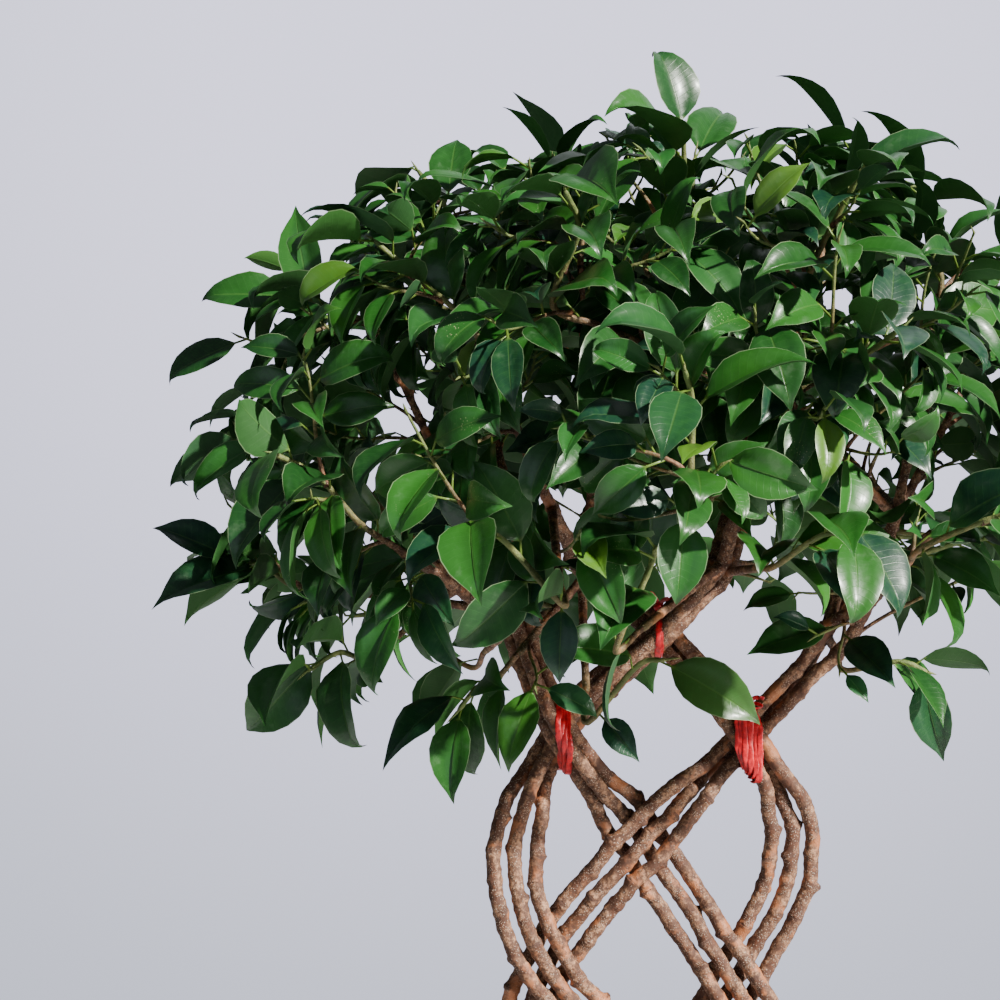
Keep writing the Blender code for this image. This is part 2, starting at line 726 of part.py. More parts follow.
def tube_object(name, points, radii, bevel_resolution):
    """A round rod along the points, from a bevelled poly curve whose caps are welded on."""
    curve = bpy.data.curves.new(name, "CURVE")
    curve.dimensions = "3D"
    curve.bevel_depth = 1.0
    curve.bevel_resolution = bevel_resolution
    curve.use_fill_caps = True
    run = curve.splines.new("POLY")
    run.points.add(len(points) - 1)
    for spot, p, r in zip(run.points, points, radii):
        spot.co = (*p, 1.0)
        spot.radius = r
    rod = bpy.data.objects.new(name, curve)
    bpy.context.scene.collection.objects.link(rod)
    bpy.context.view_layer.update()
    graph = bpy.context.evaluated_depsgraph_get()
    mesh = bpy.data.meshes.new_from_object(rod.evaluated_get(graph))
    mesh.transform(rod.matrix_world)
    bpy.data.objects.remove(rod, do_unlink=True)
    bm = bmesh.new()
    bm.from_mesh(mesh)
    bmesh.ops.remove_doubles(bm, verts=bm.verts, dist=1e-6)
    bmesh.ops.recalc_face_normals(bm, faces=bm.faces)
    bm.to_mesh(mesh)
    bm.free()
    mesh.shade_smooth()
    mesh.name = name
    return bpy.data.objects.new(name, mesh)


def joined(name, base, others, operation="UNION"):
    """base with the others joined to it, or cut from it, by one Boolean on their collection."""
    if not others:
        base.name = name
        return base
    tools = bpy.data.collections.new(name + "_tools")
    bpy.context.scene.collection.children.link(tools)
    for obj in others:
        helper(obj, tools)
    bpy.context.scene.collection.objects.link(base)
    change = base.modifiers.new("join", "BOOLEAN")
    change.operand_type = "COLLECTION"
    change.collection = tools
    change.operation = operation
    change.solver = "EXACT"
    bpy.context.view_layer.update()
    graph = bpy.context.evaluated_depsgraph_get()
    mesh = bpy.data.meshes.new_from_object(base.evaluated_get(graph))
    for obj in [base, *others]:
        bpy.data.objects.remove(obj, do_unlink=True)
    bpy.data.collections.remove(tools)
    return bpy.data.objects.new(name, mesh)


def turned(name, profile, sides):
    """A solid of revolution: the profile runs down its outer side, from the axis back to the axis."""
    mesh = bpy.data.meshes.new(name)
    mesh.from_pydata([(r, 0.0, z) for r, z in profile], [(i, i + 1) for i in range(len(profile) - 1)], [])
    obj = bpy.data.objects.new(name, mesh)
    spin = obj.modifiers.new("spin", "SCREW")
    spin.steps = spin.render_steps = sides
    spin.use_merge_vertices = True
    spin.merge_threshold = 0.00005
    spin.use_smooth_shade = True
    return obj


def arc(cx, cz, r, start, stop, steps):
    """Points on an arc in the profile's plane, angles in degrees."""
    angles = np.radians(np.linspace(start, stop, steps))
    return [(cx + r * math.cos(a), cz + r * math.sin(a)) for a in angles]


def pot_wall_radius(z):
    """Outer radius of the tapered wall at height z."""
    return POT_FOOT_RADIUS + (POT_TOP_RADIUS - POT_RIM_LEDGE - POT_FOOT_RADIUS) * z / POT_HEIGHT


def make_pot(collection, finish):
    """A plain tapered pot with a thicker rim and a flat underside."""
    e = POT_EDGE_ROUND
    rim_under = POT_HEIGHT - POT_RIM_HEIGHT
    inner_top = POT_TOP_RADIUS - POT_RIM_LEDGE - POT_WALL
    profile = (
        [(inner_top, POT_HEIGHT - e), (inner_top + e, POT_HEIGHT)]
        + arc(POT_TOP_RADIUS - e, POT_HEIGHT - e, e, 90, 0, 3)
        + [(POT_TOP_RADIUS, rim_under), (pot_wall_radius(rim_under - 0.003), rim_under - 0.003)]
        + arc(POT_FOOT_RADIUS - e, e, e, 0, -90, 3)
        + [(0.0, 0.0)]
    )
    floor = [(0.0, POT_FLOOR), (pot_wall_radius(POT_FLOOR) - POT_WALL, POT_FLOOR)]
    profile = floor + profile
    return place(turned("pot", profile, POT_SIDES), collection, finish)


def make_soil(collection, finish, lines):
    """The potting mix: it fills the pot, is mounded a little, and has a plain hole for every stem."""
    bottom = POT_FLOOR + FIT_GAP
    low = pot_wall_radius(bottom) - POT_WALL - FIT_GAP
    wide = pot_wall_radius(SOIL_HEIGHT) - POT_WALL - 1.5 * FIT_GAP
    profile = [
        (0.0, SOIL_HEIGHT + SOIL_MOUND),
        (0.55 * wide, SOIL_HEIGHT + 0.7 * SOIL_MOUND),
        (wide, SOIL_HEIGHT - SOIL_MOUND),
        (low, bottom),
        (0.0, bottom),
    ]
    mix = turned("soil", profile, POT_SIDES)
    collection.objects.link(mix)
    bpy.context.view_layer.update()
    mesh = bpy.data.meshes.new_from_object(mix.evaluated_get(bpy.context.evaluated_depsgraph_get()))
    bpy.data.objects.remove(mix, do_unlink=True)
    solid = bpy.data.objects.new("soil", mesh)
    cutters = []
    for line in lines:
        if line["owner"] < 100 and line["root"] is None:
            sunk = line["points"][:, 2] < SOIL_HEIGHT + 0.045
            points = line["points"][sunk].copy()
            points[0] -= FIT_GAP * UP
            radii = line["radii"][sunk] + FIT_GAP
            cutters.append(tube_object("hole", points, radii, 1))
    return place(joined("soil", solid, cutters, "DIFFERENCE"), collection, finish)


def make_stems(collection, finish, lines):
    """Each stem and its side boughs, as one solid."""
    for line in lines:
        if line["owner"] >= 100 or line["root"] is not None:
            continue
        owner = line["owner"]
        name = f"stem_{owner + 1:02d}"
        trunk = tube_object(name, line["points"], line["radii"], 1)
        boughs = [
            tube_object("bough", side["points"], side["radii"], 0)
            for side in lines
            if side["owner"] == owner and side["root"] is not None
        ]
        place(joined(name, trunk, boughs), collection, finish)


def tie_outline(x, height, spots, radii):
    """The inside of a band round the crossing at x: an upright rounded rectangle that starts at the crossing
    and grows upwards, downwards, forwards and backwards until it is clear of the stems."""
    sideways = np.maximum(np.abs(spots[:, 0] - x) - 0.5 * TIE_WIDTH, 0.0)
    ends = {}
    for way in (-1, 1):
        z = height
        while (np.hypot(sideways, spots[:, 2] - z) - radii).min() < TIE_CLEARANCE:
            z += way * 0.2 * MM
        ends[way] = z
    within = (sideways < radii) & (spots[:, 2] > ends[-1]) & (spots[:, 2] < ends[1])
    front = (spots[within, 1] - radii[within]).min() - TIE_CLEARANCE
    back = (spots[within, 1] + radii[within]).max() + TIE_CLEARANCE
    points = []
    for quarter, (y, z) in enumerate(((back, ends[1]), (front, ends[1]), (front, ends[-1]), (back, ends[-1]))):
        middle = math.radians(45.0 + 90.0 * quarter)
        cy = y - math.copysign(TIE_CORNER, math.cos(middle))
        cz = z - math.copysign(TIE_CORNER, math.sin(middle))
        points += arc(cy, cz, TIE_CORNER, 90.0 * quarter, 90.0 * quarter + 90.0, TIE_CORNER_STEPS)
    return np.array(points)


def make_ties(collection, finish, lines):
    """The three bands of tape, each an upright loop round a crossing."""
    on_edge = Matrix(((0, 0, 1), (1, 0, 0), (0, 1, 0))).to_euler()
    stems = [line for line in lines if line["owner"] < 100 and line["root"] is None]
    spots = np.vstack([resampled(line["points"], 400) for line in stems])
    radii = np.concatenate([thickness_at(line, spots[i * 400 : i * 400 + 400]) for i, line in enumerate(stems)])
    for name, (x, height) in TIES.items():
        inner = tie_outline(x, SOIL_HEIGHT + height, spots, radii)
        outer = inner + TIE_THICKNESS * unit(inner - inner.mean(axis=0))
        band = bpy.data.curves.new(name, "CURVE")
        band.dimensions = "2D"
        band.fill_mode = "BOTH"
        band.extrude = 0.5 * TIE_WIDTH
        for outline in (outer, inner):
            loop = band.splines.new("POLY")
            loop.points.add(len(outline) - 1)
            for spot, (u, v) in zip(loop.points, outline):
                spot.co = (u, v, 0.0, 1.0)
            loop.use_cyclic_u = True
        obj = bpy.data.objects.new(name, band)
        obj.location.x = x
        obj.rotation_euler = on_edge
        place(obj, collection, finish)


def leaf_object(leaf):
    """The blade and its stalk: a three-sided UV sphere whose rings are moved to the leaf's own places."""
    bm = bmesh.new()
    bmesh.ops.create_uvsphere(bm, u_segments=3, v_segments=LEAF_RINGS + 1, radius=1.0)
    corners = leaf_points(leaf)
    rings = {}
    for v in bm.verts:
        rings.setdefault(round(v.co.z, 4), []).append(v)
    levels = sorted(rings)
    row = 0
    for level in levels:
        ring = sorted(rings[level], key=lambda v: (math.atan2(v.co.y, v.co.x) + 0.1) % (2 * math.pi))
        for v in ring:
            v.co = Vector(corners[row])
            row += 1
    bmesh.ops.recalc_face_normals(bm, faces=bm.faces)
    mesh = bpy.data.meshes.new("leaf")
    bm.to_mesh(mesh)
    bm.free()
    return bpy.data.objects.new("leaf", mesh)


def make_shoots(collection, finish, lines, leaves):
    """Each leafy shoot, as one solid: a green twig that starts just past the bough's end, and its leaves."""
    for line in lines:
        if line["owner"] < 100:
            continue
        j = line["owner"] - 100
        points = line["points"].copy()
        points[0] += FIT_GAP * unit(points[1] - points[0])
        twig = tube_object(f"shoot_{j + 1:02d}", points, line["radii"], 0)
        blades = [leaf_object(leaf) for leaf in leaves[j]]
        place(joined(f"shoot_{j + 1:02d}", twig, blades), collection, finish)


def main():
    clear_scene()
    collection = bpy.data.collections.new("braided_ficus")
    bpy.context.scene.collection.children.link(collection)
    bark = material("bark", (0.42, 0.27, 0.18), 0.85)
    foliage = material("foliage", (0.035, 0.14, 0.03), 0.35)
    tape = material("tape", (0.70, 0.015, 0.02), 0.40)
    clay = material("pot_glaze", (0.62, 0.60, 0.56), 0.55)
    earth = material("potting_mix", (0.055, 0.035, 0.022), 0.95)
    plans, lines = grow()
    make_pot(collection, clay)
    make_soil(collection, earth, lines)
    make_stems(collection, bark, lines)
    make_ties(collection, tape, lines)
    make_shoots(collection, foliage, lines, place_leaves(lines, plans))


main()
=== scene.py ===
"""Looks of the potted braided ficus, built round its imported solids, in metres, +Z up.

The plant grows here by the same rule as its solids: twelve braided stems, their boughs, the shoots at their
ends and each shoot's large leaves. Round these come finer surfaces: knotty bark, thin side twigs, every other
leaf of the crown, creased tape, crumbly potting mix and a glazed pot.
"""

import math

import bpy
import numpy as np
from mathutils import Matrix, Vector
from mathutils.bvhtree import BVHTree


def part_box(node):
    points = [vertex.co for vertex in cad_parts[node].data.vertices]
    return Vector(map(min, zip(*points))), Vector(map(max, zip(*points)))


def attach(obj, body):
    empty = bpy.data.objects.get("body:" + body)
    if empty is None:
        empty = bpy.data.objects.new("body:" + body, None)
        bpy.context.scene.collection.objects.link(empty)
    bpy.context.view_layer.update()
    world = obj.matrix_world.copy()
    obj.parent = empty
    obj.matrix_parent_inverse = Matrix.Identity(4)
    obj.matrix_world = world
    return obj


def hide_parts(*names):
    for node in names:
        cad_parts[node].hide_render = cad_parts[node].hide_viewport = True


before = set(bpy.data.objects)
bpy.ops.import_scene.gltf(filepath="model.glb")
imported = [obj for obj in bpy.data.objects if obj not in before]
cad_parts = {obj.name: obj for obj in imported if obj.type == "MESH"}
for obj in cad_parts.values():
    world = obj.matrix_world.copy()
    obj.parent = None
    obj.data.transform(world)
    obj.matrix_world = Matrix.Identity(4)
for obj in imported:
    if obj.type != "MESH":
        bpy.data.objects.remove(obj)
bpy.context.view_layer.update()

MM = 0.001
UP = np.array([0.0, 0.0, 1.0])

# Pot and potting mix
POT_HEIGHT = 0.265
POT_TOP_RADIUS = 0.158
POT_FOOT_RADIUS = 0.116
POT_WALL = 0.009
POT_FLOOR = 0.013
POT_HOLLOW = 0.002
POT_RIM_HEIGHT = 0.022
POT_RIM_LEDGE = 0.005
POT_EDGE_ROUND = 0.004
POT_SIDES = 96
THROWING_RINGS = 0.16 * MM
SOIL_HEIGHT = 0.240
SOIL_MOUND = 0.006
SOIL_SIDES = 120
FIT_GAP = 0.3 * MM
# Lumps of the potting mix: height in millimetres, radians to a metre, turn and phase
LUMPS = ((1.3, 70, 0.3, 0.5), (0.9, 140, 1.1, 1.9), (0.7, 260, 2.0, 4.0), (0.5, 430, 0.8, 2.2))
CRUMBS = 900
CRUMB_SIZE = (0.8, 3.2)
PERLITE_ABOVE = 0.88

# Braid: where the bundles cross, as (x, height above the soil). A side level has a left and a right
# crossing. A centre level has one crossing, and the two outer bundles bow out beside it.
SIDE, CENTRE = "side", "centre"
WEAVE = (
    (SIDE, (-0.066, 0.055), (0.064, 0.052)),
    (CENTRE, (0.002, 0.140), (-0.103, 0.143), (0.102, 0.139)),
    (SIDE, (-0.0785, 0.238), (0.057, 0.225)),
    (CENTRE, (-0.010, 0.328), (-0.105, 0.314), (0.1025, 0.320)),
    (SIDE, (-0.069, 0.407), (0.0665, 0.404)),
    (CENTRE, (0.003, 0.480), (-0.100, 0.482), (0.126, 0.472)),
)
ABOVE_TOP_CROSSING = (0.046, 0.527)
BUNDLE_ORDER = "DBCA"
BUNDLE_FEET = (-0.088, -0.034, 0.030, 0.086)
TIED_LEVELS = (4, 5)
STEM_DEPTH_IN_SOIL = 0.050
STEM_FOOT_RADIUS = 6.5 * MM
STEM_TOP_RADIUS = 5.7 * MM
STEM_PITCH = 15.0 * MM
TIED_PITCH = 12.9 * MM
CROSSING_DEPTH = 7.0 * MM
TIED_DEPTH = 12.0 * MM
TIED_FROM = 0.384
STATION = 0.0265
CROWN_STATION = 0.040
KNOT_SWELL = 0.13
STEM_WANDER = 0.9 * MM

# Tape ties: the x, and the height above the soil, of the middle of the crossing that each goes round
TIES = {"tie_left": (-0.0655, 0.407), "tie_right": (0.065, 0.404), "tie_top": (0.002, 0.480)}

# Crown: a rounded dome, its half sizes from its middle, and the shoots that fill it
CROWN_MIDDLE = np.array([0.014, 0.0, 0.860])
CROWN_HALF_WIDTH = 0.366
CROWN_HALF_DEPTH = 0.310
CROWN_RISE = 0.232
CROWN_DROP_LEFT = 0.205
CROWN_DROP_RIGHT = 0.115
CROWN_SQUARENESS = 2.3
LOWEST_LEFT = -0.46
LOWEST_RIGHT = -0.28
DRIFT = 4e-5
SHOOTS = 40
SHOOT_LENGTH = 0.115
SHOOT_REACH = 0.90
BOUGH_RADIUS = 4.4 * MM
BOUGH_TIP_RADIUS = 2.7 * MM
SIDE_BOUGH_RADIUS = 3.3 * MM
SHOOT_RADIUS = 2.3 * MM
SHOOT_TIP_RADIUS = 1.75 * MM
BUNDLE_HOME = {"C": -0.24, "D": -0.085, "A": 0.085, "B": 0.25}
ROW_HOME = {"front": -0.17, "middle": 0.0, "back": 0.17}
BUNDLE_ROWS = {
    "A": ("back", "front", "middle"),
    "B": ("middle", "back", "front"),
    "C": ("middle", "front", "back"),
    "D": ("front", "back", "middle"),
}
GROWTH_SEED = 11
# A line's owner is a stem's number, or for a shoot this and the shoot's number
FIRST_SHOOT = 100

# Shoots that stand at places of their own: start, tip, how many leaves, and those leaves that have places of
# their own, as (share of the shoot, tip of the leaf, side that its upper face looks to, youth). The other
# shoots spread evenly round them.
FACING, EDGE_ON = (-0.25, -0.75, 0.60), (0.85, 0.10, 0.50)
PLACED_SHOOTS = (
    (
        (-0.240, -0.030, 0.752),
        (-0.299, -0.040, 0.771),
        7,
        ((1.0, (-0.358, -0.050, 0.794), FACING, 0.0), (0.7, (-0.354, -0.075, 0.742), FACING, 0.0)),
    ),
    (
        (-0.052, -0.060, 0.680),
        (0.000, -0.105, 0.706),
        3,
        ((1.0, (0.062, -0.130, 0.662), FACING, 0.55), (0.35, (-0.020, -0.105, 0.636), FACING, 0.0)),
    ),
    ((0.135, 0.020, 0.700), (0.199, 0.020, 0.689), 4, ((1.0, (0.205, 0.012, 0.622), FACING, 0.0),)),
    ((-0.100, -0.050, 0.706), (-0.140, -0.105, 0.672), 7, ((1.0, (-0.150, -0.130, 0.612), FACING, 0.0),)),
    ((-0.180, -0.060, 0.722), (-0.240, -0.120, 0.700), 7, ()),
    (
        (-0.190, -0.020, 0.915),
        (-0.258, -0.020, 0.960),
        7,
        ((1.0, (-0.333, -0.020, 0.955), FACING, 0.0), (0.9, (-0.264, -0.020, 1.026), FACING, 0.0)),
    ),
    ((0.118, 0.000, 0.985), (0.142, 0.000, 1.068), 7, ((1.0, (0.094, -0.005, 1.131), EDGE_ON, 0.0),)),
    ((0.190, -0.060, 0.940), (0.180, -0.070, 1.022), 7, ((1.0, (0.150, -0.070, 1.094), EDGE_ON, 0.0),)),
    ((-0.055, -0.030, 0.980), (-0.074, -0.040, 1.050), 7, ((1.0, (-0.106, -0.040, 1.096), EDGE_ON, 0.0),)),
)

# Leaves: the large ones of each shoot
LEAVES_PER_SHOOT = 7
LEAF_LENGTH = (0.052, 0.076)
LEAF_WIDTH_SHARE = (0.50, 0.60)
LEAF_KEEL = 1.5 * MM
LEAF_DROOP = (0.15, 0.75)
LEAF_BEND = (0.25, 0.85)
LEAF_FOLD = (0.02, 0.16)
PLACED_LEAF_BEND, PLACED_LEAF_FOLD = 0.35, 0.10
PETIOLE_LENGTH = (0.009, 0.014)
PETIOLE_RADIUS = 1.4 * MM
GOLDEN_ANGLE = math.radians(137.5)
LEAF_TRIES = 14
# A shoot or twig has this many places, numbered from its foot, where a leaf may spring. A placed leaf's share
# counts up to a place a little short of the tip.
TWIG_SPOTS = 60
PLACED_ON_SHOOT = 56
PLACED_ON_TWIG = 57
LEAF_CLEARANCE = 0.7 * MM
LEAF_SEED = 23
# The coarse shape by which a leaf is kept clear of others is a three-sided UV sphere drawn out along its
# midrib. One pole is the foot of the stalk, sunk in the twig. The rings lie at the blade's base and at three
# places on the blade: share of the blade's length, and share of its half width. The other pole is the tip.
LEAF_RINGS = 4
STALK_SUNK = 1.1 * MM
BLADE_AT = (0.0, 0.34, 0.66, 0.90)
BLADE_HALF_WIDTH = (0.09, 0.86, 0.90, 0.34)

# The braid's open front, where no leaf of an evenly spread shoot hangs: x from and to, and the top
OPEN_LEFT, OPEN_RIGHT, OPEN_TOP = -0.012, 0.100, 0.740

# Outline that the side twigs keep to, as it is seen from the front in the plane of the braid: x, and the
# bottom and the top there
CROWN_OUTLINE = np.array(
    [
        (-0.364, 0.731, 0.800),
        (-0.353, 0.725, 0.908),
        (-0.328, 0.718, 0.965),
        (-0.281, 0.690, 1.008),
        (-0.231, 0.662, 1.037),
        (-0.162, 0.638, 1.062),
        (-0.105, 0.616, 1.080),
        (-0.069, 0.620, 1.066),
        (-0.040, 0.640, 1.085),
        (-0.004, 0.785, 1.102),
        (0.032, 0.785, 1.062),
        (0.057, 0.785, 1.084),
        (0.097, 0.755, 1.091),
        (0.147, 0.735, 1.102),
        (0.212, 0.745, 1.070),
        (0.320, 0.800, 1.008),
        (0.385, 0.850, 0.930),
    ]
)

# Gaps in the crown where the background shows, as they are seen from the front in the plane of the braid: x,
# z and radius. No leaf of a side twig hangs across them.
CROWN_GAPS = np.array(
    [
        (-0.310, 0.804, 0.011),
        (-0.305, 0.912, 0.008),
        (-0.231, 0.997, 0.010),
        (-0.173, 0.871, 0.010),
        (-0.062, 0.806, 0.010),
        (-0.013, 1.032, 0.010),
        (0.042, 1.039, 0.010),
        (0.131, 0.956, 0.009),
        (0.152, 0.843, 0.010),
        (0.214, 0.820, 0.013),
        (0.232, 1.011, 0.018),
    ]
)

# Side twigs: layers of the crown as (share of the way to its surface, how many twigs end there)
TWIG_LAYERS = ((0.86, 120), (0.68, 70), (0.46, 30))
# Side twigs with places of their own: where one springs, its tip, how many other leaves it has, and the
# leaves that have places of their own, as (share of the twig, tip, side that the upper face looks to, youth)
PLACED_TWIGS = (
    ((0.130, -0.010, 0.714), (0.262, -0.030, 0.780), 3, ((0.62, (0.2065, -0.060, 0.7406), FACING, 0.0),)),
    (
        (0.110, -0.010, 0.708),
        (0.126, -0.045, 0.696),
        0,
        ((1.0, (0.1425, -0.060, 0.672), FACING, 0.1), (0.4, (0.1566, -0.075, 0.6853), FACING, 0.3)),
    ),
    (
        (0.120, -0.010, 0.722),
        (0.110, -0.045, 0.719),
        0,
        ((1.0, (0.0792, -0.060, 0.733), FACING, 0.0), (0.5, (0.0616, -0.050, 0.705), FACING, 0.0)),
    ),
    ((0.134, -0.010, 0.744), (0.099, -0.045, 0.749), 0, ((1.0, (0.0567, -0.055, 0.738), FACING, 0.2),)),
    ((0.160, -0.010, 0.750), (0.205, -0.080, 0.790), 3, ()),
    ((0.029, -0.010, 0.754), (0.078, -0.020, 0.756), 0, ()),
    ((-0.230, -0.030, 0.925), (-0.288, -0.085, 0.925), 0, ((1.0, (-0.344, -0.095, 0.893), FACING, 0.0),)),
    (
        (-0.060, -0.120, 0.810),
        (-0.062, -0.235, 0.795),
        0,
        (
            (1.0, (-0.050, -0.275, 0.768), FACING, 0.9),
            (0.9, (-0.036, -0.245, 0.736), FACING, 0.0),
            (0.7, (-0.084, -0.245, 0.757), FACING, 0.0),
        ),
    ),
    ((0.050, -0.180, 0.950), (0.040, -0.235, 0.985), 0, ((1.0, (0.076, -0.250, 1.024), FACING, 0.8),)),
)
# Side twigs of the same kind that come last, where the others leave them room
LAST_TWIGS = (
    (
        (-0.100, -0.050, 0.706),
        (-0.088, -0.098, 0.688),
        0,
        (
            (1.0, (-0.0436, -0.104, 0.665), FACING, 0.0),
            (0.9, (-0.1106, -0.108, 0.629), FACING, 0.45),
            (0.8, (-0.0442, -0.100, 0.720), FACING, 0.35),
        ),
    ),
)
# Where a side twig springs: a place every so far along the wood, which costs more near another twig's foot
# and is out near one that was tried in vain or above the highest cost
BEARING_STEP = 0.008
TWIG_TRIES = 5
CROWDED_WITHIN, CROWDED_COST = 0.014, 0.05
TRIED_WITHIN = 0.012
HIGHEST_COST = 0.25
TWIG_CLEARANCE = 0.5 * MM
TWIG_LENGTH = (0.028, 0.150)
TWIG_RADIUS = 1.5 * MM
TWIG_TIP_RADIUS = 0.9 * MM
TWIG_SEED = 5
LAST_TWIG_SEED = 7
SIDE_LEAF_LENGTH = (0.040, 0.064)
SIDE_LEAF_SLIMNESS = (0.78, 1.0)
SIDE_LEAF_DROOP = (0.0, 0.7)
SIDE_LEAF_BEND = (0.2, 1.1)
SIDE_LEAF_CLEARANCE = 1.0 * MM
SIDE_LEAVES_PER_TWIG = (5, 10)
SIDE_LEAF_TRIES = 9
TOP_LEAF_SHARE = 0.80
LEAF_SPACING = 0.0105
BUD_LENGTH = 0.009
BUD_SUNK = 1.0 * MM

# Leaf surface: rows along the blade with the share of the half width at each, and the six places of a ring
# of points round it, as (place across the blade, height over its middle sheet, angle round the stalk). Four
# lie on the upper face or its rims, and the last is the keel.
BLADE_ROWS = (0.0, 0.05, 0.14, 0.26, 0.40, 0.54, 0.67, 0.78, 0.865, 0.935)
BLADE_OUTLINE = (0.0, 0.29, 0.65, 0.92, 1.00, 0.93, 0.73, 0.46, 0.21, 0.090)
RING_ACROSS = np.array([-1.0, -0.5, 0.0, 0.5, 1.0, 0.0])
RING_LIFT = np.array([0.0, 0.15, -0.10, 0.15, 0.0, -0.80]) * MM
RING_ANGLE = np.array([1.0, 0.75, 0.5, 0.25, 0.0, -0.5]) * math.pi
RIMS = (0, 4)
CURL_FROM = 0.70
TIP_CURL = (0.0, 1.5)
MIDRIB_SWAY = 0.035
MIDRIB_STEPS = 80
BLADE_TWIST = 0.20
BLADE_SLOPE = (0.03, 0.42)
BLADE_BULGE = (0.04, 0.20)
RIM_WAVE = (0.0, 0.10)
RIM_WAVES = 1.6
THINNED_BELOW = 6 * MM
STALK_RADIUS = 0.85 * MM
STALK_FOOT_SUNK = 1.0 * MM
STALK_SHARE = 0.12

# Bark
BARK_STEP = 1.9 * MM
BARK_SIDES = 16
SCAR_SPACING = (0.018, 0.040)
SCAR_HEIGHT = (0.9 * MM, 2.5 * MM)
SCAR_ABOVE, SCAR_BELOW = 1.6 * MM, 3.8 * MM
SCAR_TURN = 0.4
SCAR_RING_SHARE = 0.25
SCAR_RING_WIDTH = 2.6 * MM
SCAR_MARK_WIDTH = 1.8 * MM
SCAR_MARK_DARKNESS = 0.78
SCAR_UNDER_TAPE = 0.12
STUB_SHARE = 0.14
STUB_HEIGHT = 1.6 * MM
SCAR_SPREAD, STUB_SPREAD = 0.30, 0.14
BARK_SLACK = 0.89
BARK_WAVE = 0.19 * MM
# Waves of the bark: radians to a metre along the stem, and whole waves round it
BARK_WAVES = ((160, 1), (245, -1), (330, 2), (520, 1), (760, -2), (1100, 3))
KNOT_LEAN = 0.55
KNOT_LEAN_LENGTH = 9.0 * MM
SMOOTHING = 12
# How finely side boughs, shoots and side twigs are drawn: step along them, and sides
BOUGH_STEP, BOUGH_SIDES = 3.2 * MM, 10
SHOOT_STEP, SHOOT_SIDES = 3.6 * MM, 8
TWIG_STEP, TWIG_SIDES = 4.5 * MM, 6
NODE_SPACING = (0.012, 0.019)
NODE_WIDTH = 1.6 * MM
NODE_SWELL = 0.16
BUD_RADII = np.array([0.8, 1.0, 0.55]) * MM

# Tape: turns of each tie, as offsets along x
TAPE_TURNS = {
    "tie_left": (-5.6, -2.4, 0.9, 4.0),
    "tie_right": (-8.0, -4.6, -1.2, 2.4, 5.8, 9.0),
    "tie_top": (-1.6, 1.0),
}
TAPE_GATHERED = 0.30
TIE_REACH = 0.045
TAPE_WIDTH = 4.4 * MM
KNOT_AT = math.radians(118.0)
TAPE_THICKNESS = 0.9 * MM
TAPE_OFF_STEM = 0.15 * MM
TAPE_SPOTS = 900
TAPE_NEAR = 0.07
TAPE_END_LENGTH = (0.010, 0.018)

# Camera: level with the middle of the crown's lower half, at the photograph's distance
EYE = (-0.112, -1.700, 0.814)
LENS = 85.0
SENSOR_WIDTH = 36.0

# Stage: a round floor, and the light of the surroundings in the shade
FLOOR_RADIUS = 2.0
FLOOR_THICKNESS = 0.02
SHADE_COLOUR = (0.74, 0.80, 0.88)
SHADE_STRENGTH = 0.14
# What the camera sees round the plant: the direction of a glow, how far from it the glow begins and ends to
# fade, its colour, and the colour of the rest
GLOW_TOWARD = (0.02, 0.97, 0.19)
GLOW_FADES = (0.10, 0.50)
GLOW_COLOUR = (1.46, 1.44, 1.84)
WALL_COLOUR = (0.81, 0.85, 1.01)
# Lights: kind, place, where they point, power, colour and other settings
FOOT_AIM, CROWN_AIM, BRAID_AIM = (0.0, 0.0, 0.0), (0.0, 0.0, 0.75), (0.02, 0.0, 0.52)
LIGHTS = {
    "key": ("SUN", (0.68, -0.60, 0.50), FOOT_AIM, 8.8, (1.0, 0.965, 0.91), {"angle": math.radians(1.8)}),
    "fill": ("AREA", (-1.5, -1.9, 1.5), CROWN_AIM, 4.5, (0.74, 0.86, 1.0), {"shape": "DISK", "size": 1.6}),
    "back": ("AREA", (1.4, 2.6, 3.6), CROWN_AIM, 22.0, (0.92, 0.96, 1.0), {"shape": "DISK", "size": 3.0}),
    "low": (
        "AREA",
        (1.35, -0.85, 0.42),
        BRAID_AIM,
        0.8,
        (1.0, 0.95, 0.88),
        {"shape": "DISK", "size": 0.30, "spread": math.radians(32.0)},
    ),
}


def unit(v):
    """v, or each row of v, at length 1."""
    v = np.asarray(v, float)
    return v / np.linalg.norm(v, axis=-1, keepdims=True)


def smoothstep(low, high, x):
    t = np.clip((x - low) / (high - low), 0.0, 1.0)
    return t * t * (3.0 - 2.0 * t)


def spline(points, per_span):
    """Catmull-Rom curve through the points, per_span samples to a span."""
    p = np.asarray(points, float)
    p = np.vstack([2 * p[0] - p[1], p, 2 * p[-1] - p[-2]])
    t = np.arange(per_span)[:, None] / per_span
    spans = [
        0.5
        * (
            2 * b
            + (c - a) * t
            + (2 * a - 5 * b + 4 * c - d) * t**2
            + (3 * b - a - 3 * c + d) * t**3
        )
        for a, b, c, d in zip(p, p[1:], p[2:], p[3:])
    ]
    return np.vstack(spans + [p[-2:-1]])


def bezier(a, b, c, d, count):
    """Cubic Bezier curve with control points a, b, c and d."""
    t = np.linspace(0.0, 1.0, count)[:, None]
    return (1 - t) ** 3 * a + 3 * (1 - t) ** 2 * t * b + 3 * (1 - t) * t**2 * c + t**3 * d


def lengths_along(points):
    steps = np.linalg.norm(np.diff(points, axis=0), axis=1)
    return np.concatenate([[0.0], np.cumsum(steps)])


def resampled(points, count):
    """The polyline with count points at equal steps."""
    s = lengths_along(points)
    at = np.linspace(0.0, s[-1], count)
    return np.stack([np.interp(at, s, points[:, i]) for i in range(3)], axis=1)


